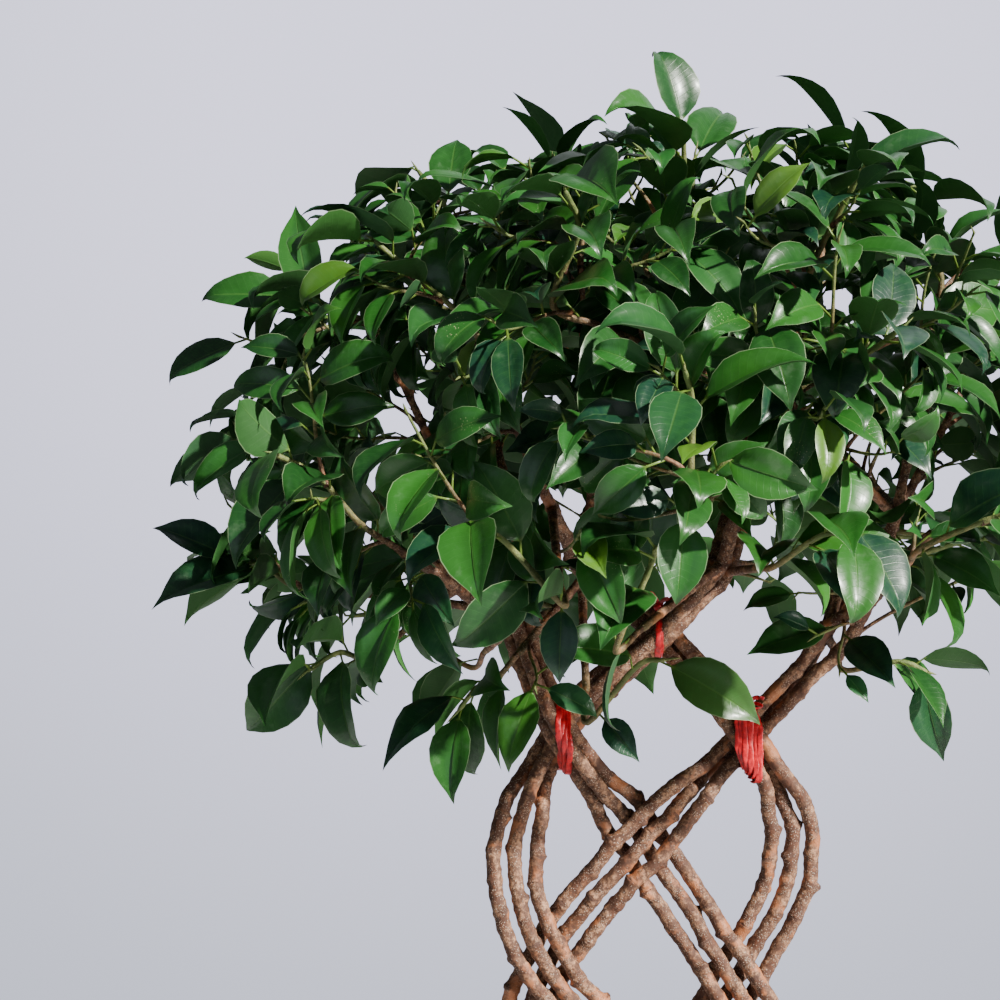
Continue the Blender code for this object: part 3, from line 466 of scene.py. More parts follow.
def thickness_at(line, count):
    """Radius of the line at count equal steps from end to end."""
    s = lengths_along(line["points"])
    return np.interp(np.linspace(0.0, s[-1], count), s, line["radii"])


def tangents(points):
    return unit(np.gradient(points, axis=0))


def turns_of(sides):
    """Angles of the corners of a ring."""
    return np.arange(sides) * 2 * math.pi / sides


def circles(across, other, turn):
    """A ring of directions round each step of a path, from the two directions across it."""
    return across[:, None] * np.cos(turn)[:, None] + other[:, None] * np.sin(turn)[:, None]


# Braid


def bundle_routes():
    """For each bundle, the points that its middle passes: x, y, height above the soil."""
    order = list(BUNDLE_ORDER)
    routes = {b: [(x, 0.0, -STEM_DEPTH_IN_SOIL), (x, 0.0, 0.0)] for b, x in zip(order, BUNDLE_FEET)}
    for level, (kind, *places) in enumerate(WEAVE):
        depth = TIED_DEPTH if level in TIED_LEVELS else CROSSING_DEPTH
        pairs = ((0, 1), (2, 3)) if kind == SIDE else ((1, 2),)
        for (left, right), (x, height) in zip(pairs, places):
            in_front = order[right] if kind == SIDE else order[left]
            for bundle in (order[left], order[right]):
                y = -depth if bundle == in_front else depth
                routes[bundle].append((x, y, height))
            order[left], order[right] = order[right], order[left]
        if kind == CENTRE:
            for bundle, (x, height) in zip((order[0], order[3]), places[1:]):
                routes[bundle].append((x, 0.0, height))
    x, height = ABOVE_TOP_CROSSING
    for bundle, side in ((order[1], -1), (order[2], 1)):
        routes[bundle].append((side * x, 0.5 * routes[bundle][-1][1], height))
    return routes


def stem_wander(rng, count):
    """A slow sideways drift of a stem, as a smoothed random walk."""
    drift = rng.normal(0.0, 1.0, (count, 3))
    for _ in range(3):
        drift[1:-1] = (drift[:-2] + drift[1:-1] + drift[2:]) / 3
    drift[:, 2] = 0.0
    return drift * STEM_WANDER


def braid_stems(rng):
    """The twelve stems from their feet to the top of the braid, three to a bundle."""
    stems = []
    for bundle, route in sorted(bundle_routes().items()):
        middle = spline(route, 16)
        middle = resampled(middle, 2 + int(lengths_along(middle)[-1] / STATION))
        for _ in range(2):
            middle[1:-1, 0] += 0.25 * (middle[:-2, 0] - 2 * middle[1:-1, 0] + middle[2:, 0])
        along = tangents(middle)
        side = unit(np.stack([along[:, 2], np.zeros(len(along)), -along[:, 0]], axis=1))
        gathered = smoothstep(TIED_FROM - 0.045, TIED_FROM, middle[:, 2])[:, None]
        apex = -1.0 if bundle in "AC" else 1.0
        for k in (-1, 0, 1):
            flat = k * STEM_PITCH * side
            tied_side = 0.5 * k * TIED_PITCH
            tied_depth = (0.58 if k == 0 else -0.29) * TIED_PITCH * apex
            tied = tied_side * side + np.array([0.0, tied_depth, 0.0])
            points = middle + flat * (1 - gathered) + tied * gathered
            points = points + stem_wander(rng, len(points))
            points[:, 2] += SOIL_HEIGHT
            stems.append({"bundle": bundle, "k": k, "points": points})
    return stems


# Crown


def leftness(direction):
    """0 for a direction to the right, rising to 1 for one well to the left."""
    return 1.0 - smoothstep(-0.50, 0.05, direction[:, 0])


def lowest(direction):
    """Height of the crown's lower edge on the side of each direction, as that of a direction of length 1."""
    return LOWEST_RIGHT + (LOWEST_LEFT - LOWEST_RIGHT) * leftness(direction)


def spiral(count, start):
    """Evenly spread directions on a spiral from the top down to the crown's lower edge."""
    i = np.arange(count)
    rise = 1.0 - (i + 0.5) / count * (1.0 - LOWEST_LEFT)
    turn = i * math.pi * (3 - math.sqrt(5)) + start
    flat = np.sqrt(1 - rise**2)
    return np.stack([flat * np.cos(turn), flat * np.sin(turn), rise], axis=1)


def dome(direction):
    """Distance from the crown's middle to its surface, along each direction: a rounded box whose underside
    is higher on the right than on the left."""
    d = np.atleast_2d(direction)
    drop = CROWN_DROP_RIGHT + (CROWN_DROP_LEFT - CROWN_DROP_RIGHT) * leftness(d)
    tall = np.where(d[:, 2] > 0, CROWN_RISE, drop)
    p = CROWN_SQUARENESS
    sums = (
        np.abs(d[:, 0] / CROWN_HALF_WIDTH) ** p
        + np.abs(d[:, 1] / CROWN_HALF_DEPTH) ** p
        + np.abs(d[:, 2] / tall) ** p
    )
    return sums ** (-1 / p)


def shoot_plan(rng):
    """Where each shoot starts, bends and ends. The placed shoots come first. The others start on a spiral
    round the dome, and all of them drift apart over its surface until they are evenly spread."""
    placed = np.array([tip for _, tip, _, _ in PLACED_SHOOTS])
    out = spiral(SHOOTS - len(placed), 0.0)
    reach = SHOOT_REACH + rng.normal(0.0, 0.03, len(out))
    for _ in range(80):
        tips = np.vstack([placed, CROWN_MIDDLE + out * (dome(out) * reach)[:, None]])
        apart = tips[:, None] - tips[None]
        far = np.linalg.norm(apart, axis=2) + np.eye(len(tips))
        push = (apart / far[:, :, None] ** 3).sum(axis=1)[len(placed) :]
        out = unit(tips[len(placed) :] + DRIFT * push - CROWN_MIDDLE)
        out[:, 2] = np.maximum(out[:, 2], lowest(out))
        out = unit(out)
    heading = unit(out + 0.30 * UP + rng.normal(0.0, 0.12, out.shape))
    plans = []
    for start, tip, count, leaves in PLACED_SHOOTS:
        start, tip = np.array(start), np.array(tip)
        bend = 0.5 * (start + tip) + 0.006 * UP
        plans.append({"start": start, "bend": bend, "tip": tip, "count": count, "leaves": leaves})
    for tip, d in zip(tips[len(placed) :], heading):
        lift = unit(d + 0.45 * UP)
        start = tip - 0.5 * SHOOT_LENGTH * (d + lift)
        bend = start + 0.5 * SHOOT_LENGTH * lift
        plan = {"start": start, "bend": bend, "tip": tip, "count": LEAVES_PER_SHOOT, "leaves": ()}
        plans.append(plan)
    return plans


def give_shoots(stems, plans):
    """Gives every stem three or four shoots near its own part of the crown: the shoots are dealt out, and
    then swapped while that brings them nearer in all."""
    starts = np.array([p["start"] for p in plans])
    for stem in stems:
        row = BUNDLE_ROWS[stem["bundle"]][stem["k"] + 1]
        stem["home"] = np.array([BUNDLE_HOME[stem["bundle"]], ROW_HOME[row]])
    far = np.array([((starts[:, :2] - s["home"]) ** 2).sum(axis=1) for s in stems])
    holder = np.arange(len(plans)) % len(stems)
    better = True
    while better:
        better = False
        for i in range(len(plans)):
            for j in range(i):
                a, b = holder[i], holder[j]
                if far[a, j] + far[b, i] < far[a, i] + far[b, j] - 1e-9:
                    holder[i], holder[j] = b, a
                    better = True
    for s, stem in enumerate(stems):
        own = [j for j in range(len(plans)) if holder[j] == s]
        stem["shoots"] = sorted(own, key=lambda j: -plans[j]["start"][2])


def bough_run(root, along, plan, station):
    """A bough's middle line, which leaves its root along the line given and meets its shoot straight on."""
    start = plan["start"]
    far = np.linalg.norm(start - root)
    arriving = unit(0.7 * unit(plan["bend"] - start) + 0.3 * unit(plan["tip"] - start))
    run = bezier(root, root + 0.36 * far * along, start - 0.33 * far * arriving, start, 40)
    return resampled(run, max(4, 2 + int(far / station)))


def fork_of(points, first, start):
    """Where along a stem a side bough leaves it: near the shoot that it leads to, and not at a wide angle."""
    last = len(points) - 2
    roots = points[first:last]
    toward = start - roots
    far = np.linalg.norm(toward, axis=1)
    straight = (unit(toward) * unit(points[first + 1 : last + 1] - points[first - 1 : last - 1])).sum(axis=1)
    return first + int(np.argmin(far * (1.7 - straight)))


def grow_boughs(stems, plans):
    """Runs each stem on to its highest shoot and forks a side bough off it for each of the others. Returns
    the lines of the plant, each with its radii, its owner, the stem whose wood bears it, and what it springs
    from."""
    lines = []
    for s, stem in enumerate(stems):
        braid = stem["points"]
        run = bough_run(braid[-1], unit(braid[-1] - braid[-2]), plans[stem["shoots"][0]], CROWN_STATION)
        points = np.vstack([braid, run[1:]])
        top = lengths_along(braid)[-1]
        end = lengths_along(points)[-1]
        radii = np.interp(
            lengths_along(points),
            [0.0, top, top + 0.05, end],
            [STEM_FOOT_RADIUS, STEM_TOP_RADIUS, BOUGH_RADIUS, BOUGH_TIP_RADIUS],
        )
        trunk = len(lines)
        lines.append({"owner": s, "points": points, "radii": radii, "root": None, "crown": len(braid)})
        lines[-1].update(shoot=stem["shoots"][0], wood=s)
        for j in stem["shoots"][1:]:
            at = fork_of(points, len(braid) - 1, plans[j]["start"])
            along = unit(points[at + 1] - points[at - 1])
            leaving = unit(along + unit(plans[j]["start"] - points[at]))
            bough = bough_run(points[at], leaving, plans[j], 1.25 * CROWN_STATION)
            thick = np.linspace(SIDE_BOUGH_RADIUS, BOUGH_TIP_RADIUS, len(bough))
            lines.append({"owner": s, "points": bough, "radii": thick, "root": (trunk, at), "crown": 1})
            lines[-1].update(shoot=j, wood=s)
    for parent in range(len(lines)):
        bearer = lines[parent]
        plan = plans[bearer["shoot"]]
        bow = resampled(bezier(plan["start"], plan["bend"], plan["bend"], plan["tip"], 30), 4)
        thick = np.linspace(SHOOT_RADIUS, SHOOT_TIP_RADIUS, len(bow))
        root = (parent, len(bearer["points"]) - 1)
        lines.append({"owner": FIRST_SHOOT + bearer["shoot"], "points": bow, "radii": thick, "root": root})
        lines[-1]["wood"] = bearer["wood"]
    return lines


def is_shoot(line):
    return line["owner"] >= FIRST_SHOOT


def balls_of(lines):
    """Balls that fill the lines, four to a step, as arrays: place, radius, owner, family, the point before
    it, the share of the next point, and whether it lies where a bough and its shoot meet."""
    share = np.array([0.0, 0.25, 0.5, 0.75])
    columns = []
    first = 0
    for line in lines:
        p, r = line["points"], line["radii"]
        i = np.repeat(np.arange(len(p) - 1), len(share))
        w = np.tile(share, len(p) - 1)
        meets = i + w < 1.0 if is_shoot(line) else i + w > len(p) - 1.6
        owner, family = np.full(len(i), line["owner"]), np.full(len(i), line["wood"])
        place = p[i] * (1 - w)[:, None] + p[i + 1] * w[:, None]
        columns.append((place, r[i] * (1 - w) + r[i + 1] * w, owner, family, first + i, w, meets))
        first += len(p)
    return [np.concatenate(column) for column in zip(*columns)]


def neighbours(spots, size, owner, family, meets):
    """Pairs of balls near each other. A shoot and the bough that bears it may touch where they meet."""
    far = np.linalg.norm(spots[:, None] - spots[None], axis=2)
    reach = size[:, None] + size[None] + 12 * MM
    a, b = np.argwhere(np.triu(far < reach, 1)).T
    shoot_on_bough = (family[a] == family[b]) & ((owner[a] < FIRST_SHOOT) != (owner[b] < FIRST_SHOOT))
    kept = (owner[a] != owner[b]) & ~(shoot_on_bough & meets[a] & meets[b])
    return a[kept], b[kept]


def settle(lines, rounds=240, gap=0.9 * MM, pinned_below=SOIL_HEIGHT - 0.03):
    """Pushes the lines of different owners apart until all are clear by the gap, as pressed stems lie side
    by side. A side line stays on the point that it springs from."""
    for step in range(rounds):
        spots, size, owner, family, base, weight, meets = balls_of(lines)
        if step % 12 == 0:
            near = neighbours(spots, size, owner, family, meets)
        a, b = near
        apart = spots[a] - spots[b]
        far = np.linalg.norm(apart, axis=1) + 1e-9
        lack = size[a] + size[b] + gap - far
        hit = lack > 0
        if not hit.any():
            break
        push = (apart * (0.5 * lack / far)[:, None])[hit]
        total = sum(len(line["points"]) for line in lines)
        moved, count = np.zeros((total, 3)), np.zeros(total)
        for ball, sign in ((a[hit], 1.0), (b[hit], -1.0)):
            for end, w in ((0, 1 - weight[ball]), (1, weight[ball])):
                np.add.at(moved, base[ball] + end, sign * push * w[:, None])
                np.add.at(count, base[ball] + end, w)
        moved = 1.1 * moved / np.maximum(count, 1.0)[:, None]
        first = 0
        for line in lines:
            shift = moved[first : first + len(line["points"])]
            first += len(line["points"])
            shift[line["points"][:, 2] < pinned_below] = 0.0
            line["points"] = line["points"] + shift
        for line in lines:
            if not is_shoot(line) and step < rounds // 2:
                ease(line["points"], line["crown"])
            if line["root"] is not None:
                keep_rooted(line, lines)
    return lines


def keep_rooted(line, lines):
    """Brings a side line back to the point that it springs from. The shift fades out along it."""
    parent, at = line["root"]
    miss = lines[parent]["points"][at] - line["points"][0]
    fade = np.linspace(1.0, 0.0, len(line["points"])) ** 2
    line["points"] = line["points"] + miss * fade[:, None]
    if is_shoot(line):
        point_at(lines[parent]["points"], line["points"])


def ease(points, first):
    """Takes some of the bend out of a bough, from its first point of its own on."""
    middle = 0.5 * (points[first - 1 : -2] + points[first + 1 :])
    points[first:-1] += 0.12 * (middle - points[first:-1])


def point_at(bough, shoot):
    """Turns the bough's last step and the shoot's first one into one line, so that their ends lie face to
    face."""
    before, after = bough[-1] - bough[-2], shoot[1] - shoot[0]
    along = unit(unit(before) + unit(after))
    bough[-2] = bough[-1] - np.linalg.norm(before) * along
    shoot[1] = shoot[0] + np.linalg.norm(after) * along


def swell_knots(lines, rng):
    """Knots: about every second station of a stem is swollen, where a leaf once grew."""
    for line in lines:
        if line["root"] is None:
            n = len(line["radii"])
            knots = np.zeros(n)
            at = 4
            while at < n - 2:
                knots[at] = rng.uniform(0.6, 1.0)
                at += int(rng.integers(2, 4))
            line["knots"] = knots
            line["radii"] = line["radii"] * (1 + KNOT_SWELL * knots)
    return lines


def grow():
    """The whole plant as lines, and the plan of its shoots."""
    rng = np.random.default_rng(GROWTH_SEED)
    stems = braid_stems(rng)
    plans = shoot_plan(rng)
    give_shoots(stems, plans)
    lines = swell_knots(grow_boughs(stems, plans), rng)
    return plans, settle(lines)


# Leaves


def tube_mesh(points, radii, sides):
    """Vertices and faces of a plain tube along the points, used to test for clearance."""
    along = tangents(points)
    across = unit(np.cross(along, np.array([0.31, 0.95, 0.05])))
    other = np.cross(along, across)
    ring = circles(across, other, turns_of(sides))
    co = (points[:, None] + ring * np.asarray(radii)[:, None, None]).reshape(-1, 3)
    n = len(points)
    faces = [
        (r * sides + k, r * sides + (k + 1) % sides, (r + 1) * sides + (k + 1) % sides, (r + 1) * sides + k)
        for r in range(n - 1)
        for k in range(sides)
    ]
    return co, faces


class Crowd:
    """Shapes that are in place, and a test of whether a new one would cut them."""

    def __init__(self):
        self.trees, self.low, self.high = [], [], []

    def add(self, co, faces):
        self.trees.append(BVHTree.FromPolygons([tuple(c) for c in co], faces))
        self.low.append(co.min(0))
        self.high.append(co.max(0))

    def cuts(self, co, faces, but=()):
        if not self.trees:
            return False
        low, high = np.array(self.low), np.array(self.high)
        near = ((low < co.max(0)) & (high > co.min(0))).all(axis=1)
        tree = None
        for i in np.flatnonzero(near):
            if i in but:
                continue
            tree = tree or BVHTree.FromPolygons([tuple(c) for c in co], faces)
            if tree.overlap(self.trees[i]):
                return True
        return False


def leaf_points(leaf, grow_by=0.0):
    """Corners of the leaf's coarse shape: the foot, then each ring as left edge, right edge and keel, then
    the tip. The midrib is an arc that starts along the blade and bends away from the upper side."""
    blade, upper, bend = leaf["blade"], leaf["upper"], leaf["bend"]
    side = np.cross(blade, upper)
    length = leaf["length"] + grow_by
    base = leaf["foot"] + leaf["stalk"] * leaf["stalk_length"]
    rows = [leaf["foot"] - STALK_SUNK * leaf["stalk"]]
    for at, wide in zip(BLADE_AT, BLADE_HALF_WIDTH):
        mid = base + length / bend * (math.sin(bend * at) * blade - (1 - math.cos(bend * at)) * upper)
        up = math.cos(bend * at) * upper + math.sin(bend * at) * blade
        half = PETIOLE_RADIUS if at == 0 else wide * (0.5 * leaf["width"] + grow_by)
        keel = (LEAF_KEEL + grow_by) * (0.5 if at > 0.8 else 1.0)
        lift = leaf["fold"] * half * up
        rows += [mid - half * side + lift, mid + half * side + lift, mid - keel * up]
    tip = base + length / bend * (math.sin(bend) * blade - (1 - math.cos(bend)) * upper)
    return np.array(rows + [tip])


def leaf_faces():
    """Faces of the drawn-out sphere, in the order that leaf_points gives its corners."""
    faces = [(0, 1 + (k + 1) % 3, 1 + k) for k in range(3)]
    for ring in range(LEAF_RINGS - 1):
        a = 1 + 3 * ring
        faces += [(a + k, a + (k + 1) % 3, a + 3 + (k + 1) % 3, a + 3 + k) for k in range(3)]
    last = 1 + 3 * (LEAF_RINGS - 1)
    tip = last + 3
    return faces + [(last + k, last + (k + 1) % 3, tip) for k in range(3)]


def make_leaf(rng, spot, along, turn, length, out):
    """One leaf that springs from spot on a twig. Its stalk leaves the twig at the given turn, the blade
    swings outwards and down from it, and its upper side faces the light."""
    across = unit(np.cross(along, UP + 0.01))
    radial = math.cos(turn) * across + math.sin(turn) * np.cross(along, across)
    stalk = unit(0.75 * radial + 0.65 * along + 0.10 * UP)
    droop = rng.uniform(*LEAF_DROOP)
    blade = unit(0.75 * stalk + 0.45 * out - droop * UP + rng.normal(0.0, 0.16, 3))
    if blade @ stalk < 0.5:
        blade = unit(blade + stalk)
    light = unit(0.62 * out + 0.80 * UP + rng.normal(0.0, 0.22, 3))
    return {
        "foot": spot,
        "stalk": stalk,
        "blade": blade,
        "upper": unit(light - (light @ blade) * blade),
        "stalk_length": rng.uniform(*PETIOLE_LENGTH),
        "length": length,
        "width": length * rng.uniform(*LEAF_WIDTH_SHARE),
        "bend": rng.uniform(*LEAF_BEND),
        "fold": rng.uniform(*LEAF_FOLD),
    }


def make_placed_leaf(spot, tip, light):
    """A leaf from the spot on a twig to a tip of its own."""
    tip, light = np.array(tip), np.array(light)
    blade = unit(tip - spot)
    length = np.linalg.norm(tip - spot) - PETIOLE_LENGTH[0]
    return {
        "foot": spot,
        "stalk": unit(blade + 0.15 * UP),
        "blade": unit(blade + 0.10 * UP),
        "upper": unit(light - (light @ blade) * blade),
        "stalk_length": PETIOLE_LENGTH[0],
        "length": length,
        "width": length * LEAF_WIDTH_SHARE[0],
        "bend": PLACED_LEAF_BEND,
        "fold": PLACED_LEAF_FOLD,
    }


def outward(spot):
    return unit((spot - CROWN_MIDDLE) / np.array([CROWN_HALF_WIDTH, CROWN_HALF_DEPTH, CROWN_RISE]))


def bars_view(points):
    """Whether something would hang in the braid's open front."""
    x, y, z = points.T
    return bool(((x > OPEN_LEFT) & (x < OPEN_RIGHT) & (y < 0.03) & (z < OPEN_TOP)).any())


def place_leaves(lines, plans):
    """The large leaves of every shoot: first those with places of their own, then the others in a spiral
    round it. A leaf that would cut something that is in place is turned and tried again, and after some
    tries it is left out."""
    rng = np.random.default_rng(LEAF_SEED)
    crowd = Crowd()
    faces = leaf_faces()
    blade_faces = faces[3:]
    shoot_of = {}
    for n, line in enumerate(lines):
        crowd.add(*tube_mesh(line["points"], line["radii"], 6))
        if is_shoot(line):
            shoot_of[line["owner"] - FIRST_SHOOT] = n
    leaves = {j: [] for j in shoot_of}
    for j, n in shoot_of.items():
        points = resampled(lines[n]["points"], TWIG_SPOTS)
        for share, tip, light, youth in plans[j]["leaves"]:
            spot = points[int(round(share * PLACED_ON_SHOOT))]
            leaf = make_placed_leaf(spot, tip, light) | {"youth": youth}
            crowd.add(leaf_points(leaf), faces)
            leaves[j].append(leaf)
    for order in range(LEAVES_PER_SHOOT):
        for j, n in shoot_of.items():
            if not len(plans[j]["leaves"]) <= order < plans[j]["count"]:
                continue
            points = resampled(lines[n]["points"], TWIG_SPOTS)
            share = 1.0 - 0.86 * order / (LEAVES_PER_SHOOT - 1)
            at = int(round(share * (TWIG_SPOTS - 1)))
            along = tangents(points)[at]
            spot = points[at] - (1.2 * MM * along if at == TWIG_SPOTS - 1 else 0.0)
            for attempt in range(LEAF_TRIES):
                turn = order * GOLDEN_ANGLE + j + rng.normal(0.0, 0.15 + 0.25 * attempt)
                length = rng.uniform(*LEAF_LENGTH) * (1.0 - 0.015 * attempt)
                leaf = make_leaf(rng, spot, along, turn, length, outward(spot)) | {"youth": 0.0}
                probe = leaf_points(leaf, LEAF_CLEARANCE)
                own_twig = crowd.trees[n].overlap(BVHTree.FromPolygons(probe.tolist(), blade_faces))
                if not (own_twig or bars_view(probe) or crowd.cuts(probe, faces, but=(n,))):
                    crowd.add(leaf_points(leaf), faces)
                    leaves[j].append(leaf)
                    break
    return leaves, crowd


# Side twigs and the crown's other leaves


def bearing_spots(lines):
    """Where side twigs may spring: places along the shoots and the outer half of the boughs, with the
    direction, the line's number and its radius there."""
    spots, along, bearer, size = [], [], [], []
    for n, line in enumerate(lines):
        own = line["points"] if is_shoot(line) else line["points"][line["crown"] - 1 :]
        run = resampled(own, 2 + int(lengths_along(own)[-1] / BEARING_STEP))
        low = 0.10 if is_shoot(line) else 0.06
        kept = slice(int(low * len(run)), max(int(0.9 * len(run)), 2))
        spots.append(run[kept])
        along.append(tangents(run)[kept])
        bearer.append(np.full(len(run[kept]), n))
        steps, stations = np.linspace(0, 1, len(run)), np.linspace(0, 1, len(line["radii"]))
        size.append(np.interp(steps, stations, line["radii"])[kept])
    return np.vstack(spots), np.vstack(along), np.concatenate(bearer), np.concatenate(size)


def twig_tips(reach, count, rng):
    """Points on a spiral round the dome, at a share of the way to its surface."""
    out = spiral(count, reach * 9.0)
    out = unit(out + rng.normal(0.0, 0.03, out.shape))
    out = out[out[:, 2] > lowest(out)]
    return CROWN_MIDDLE + out * (dome(out) * reach * rng.uniform(0.94, 1.05, len(out)))[:, None]


def seen_from_front(points):
    """Where the camera sees the points, as x and z in the plane of the braid."""
    nearer = EYE[1] / (EYE[1] - points[:, 1])
    return EYE[0] + (points[:, 0] - EYE[0]) * nearer, EYE[2] + (points[:, 2] - EYE[2]) * nearer


def strays(points):
    """Whether something would be seen from the front outside the crown's outline."""
    x, z = seen_from_front(points)
    at, low, high = CROWN_OUTLINE.T
    outside = (z < np.interp(x, at, low)) | (z > np.interp(x, at, high)) | (x < at[0]) | (x > at[-1])
    return bool(outside.any())


def fills_gap(points):
    """Whether a point, or the middle between two that follow each other, would be seen in one of the gaps."""
    x, z = seen_from_front(np.vstack([points, 0.5 * (points[1:] + points[:-1])]))
    at_x, at_z, radius = CROWN_GAPS.T
    return bool((np.hypot(x[:, None] - at_x, z[:, None] - at_z) < radius).any())


def placed_wishes(twigs):
    """The twigs that have places of their own, as (tip, start, leaves)."""
    return [
        (np.array(tip), np.array(start), {"count": count, "placed": own}) for start, tip, count, own in twigs
    ]


def spread_wishes(rng):
    """The twigs that fill the layers of the crown, as (tip, no start of its own, no leaves of its own)."""
    return [(tip, None, {}) for reach, count in TWIG_LAYERS for tip in twig_tips(reach, count, rng)]


def side_twigs(lines, crowd, wishes, rng):
    """Thin twigs that fill the crown between the shoots. Each springs from the nearest wood that lets it
    grow outwards, and none cuts a leaf that is in place. A placed twig springs from the wood nearest its
    start."""
    spots, along, bearer, size = bearing_spots(lines)
    crowding = np.zeros(len(spots))
    twigs = []
    for tip, start, own in wishes:
        out = outward(tip)
        toward = tip - spots
        far = np.linalg.norm(toward, axis=1)
        heading = toward / far[:, None]
        easy = 0.55 * (heading * along).sum(axis=1) + 0.45 * heading @ out
        cost = far * (1.7 - easy) + crowding + 0.2 * ((far < TWIG_LENGTH[0]) | (far > TWIG_LENGTH[1]))
        if start is not None:
            cost = np.linalg.norm(spots - start, axis=1)
        for _ in range(TWIG_TRIES):
            k = int(np.argmin(cost))
            leaving = unit(0.55 * along[k] + 0.85 * heading[k])
            arriving = unit(0.6 * heading[k] + 0.4 * out + 0.30 * UP + rng.normal(0.0, 0.10, 3))
            reach_out = 0.34 * far[k]
            run = bezier(spots[k], spots[k] + reach_out * leaving, tip - reach_out * arriving, tip, 24)
            run = resampled(run, max(4, 2 + int(far[k] / 0.012)))
            thick = np.linspace(min(TWIG_RADIUS, 0.8 * size[k]), TWIG_TIP_RADIUS, len(run))
            blocked = crowd.cuts(*tube_mesh(run, thick + TWIG_CLEARANCE, 5), but=(bearer[k],))
            blocked = blocked or bars_view(run) or start is None and strays(run)
            if cost[k] < HIGHEST_COST and not blocked:
                crowding[np.linalg.norm(spots - spots[k], axis=1) < CROWDED_WITHIN] += CROWDED_COST
                twig = {"points": run, "radii": thick, "bearer": bearer[k], "number": len(crowd.trees)}
                twigs.append(twig | own)
                crowd.add(*tube_mesh(run, thick, 5))
                break
            cost[np.linalg.norm(spots - spots[k], axis=1) < TRIED_WITHIN] += 1.0
    return twigs


def hung(leaf, out, rng):
    """The leaf with its blade swung further down and its upper side turned outwards."""
    leaf["blade"] = unit(leaf["blade"] - rng.uniform(*SIDE_LEAF_DROOP) * UP + 0.10 * leaf["stalk"])
    light = unit(0.95 * out + 0.45 * UP + rng.normal(0.0, 0.26, 3))
    leaf["upper"] = unit(light - (light @ leaf["blade"]) * leaf["blade"])
    leaf["bend"] = rng.uniform(*SIDE_LEAF_BEND)
    leaf["width"] *= rng.uniform(*SIDE_LEAF_SLIMNESS)
    return leaf


def side_leaves(twigs, crowd, rng):
    """The leaves of the side twigs, each in a spiral from the tip down to a quarter of the twig."""
    faces = leaf_faces()
    for n, twig in enumerate(twigs):
        points = resampled(twig["points"], TWIG_SPOTS)
        slopes = tangents(points)
        long = lengths_along(points)[-1]
        free = "placed" not in twig
        count = twig.get("count", int(np.clip(3 + round(long / LEAF_SPACING), *SIDE_LEAVES_PER_TWIG)))
        spread = 0.78 if free else 0.35
        twig["leaves"] = []
        for share, tip, side, youth in twig.get("placed", ()):
            leaf = make_placed_leaf(points[int(round(share * PLACED_ON_TWIG))], tip, side) | {"youth": youth}
            if not crowd.cuts(leaf_points(leaf), faces, but=(twig["number"],)):
                crowd.add(leaf_points(leaf), faces)
                twig["leaves"].append(leaf)
        for order in range(count):
            at = int(round((1.0 - spread * order / (count - 1)) * (TWIG_SPOTS - 1)))
            spot = points[at] - (1.0 * MM * slopes[at] if at == TWIG_SPOTS - 1 else 0.0)
            out = outward(spot)
            for attempt in range(SIDE_LEAF_TRIES):
                turn = order * GOLDEN_ANGLE + 2.4 * n + rng.normal(0.0, 0.15 + 0.30 * attempt)
                length = rng.uniform(*SIDE_LEAF_LENGTH) * (1.0 - 0.03 * attempt)
                length *= TOP_LEAF_SHARE if order == 0 else 1.0
                leaf = hung(make_leaf(rng, spot, slopes[at], turn, length, out), out, rng)
                probe = leaf_points(leaf, SIDE_LEAF_CLEARANCE)
                barred = bars_view(probe) or free and (strays(probe) or fills_gap(probe))
                if not (barred or crowd.cuts(probe, faces, but=(twig["number"],))):
                    crowd.add(leaf_points(leaf), faces)
                    youth = rng.uniform(0.0, 1.0) ** 2.5 if order == 0 else rng.uniform(0.0, 0.3) / order
                    leaf["youth"] = youth
                    twig["leaves"].append(leaf)
                    break
    return twigs


# Surfaces


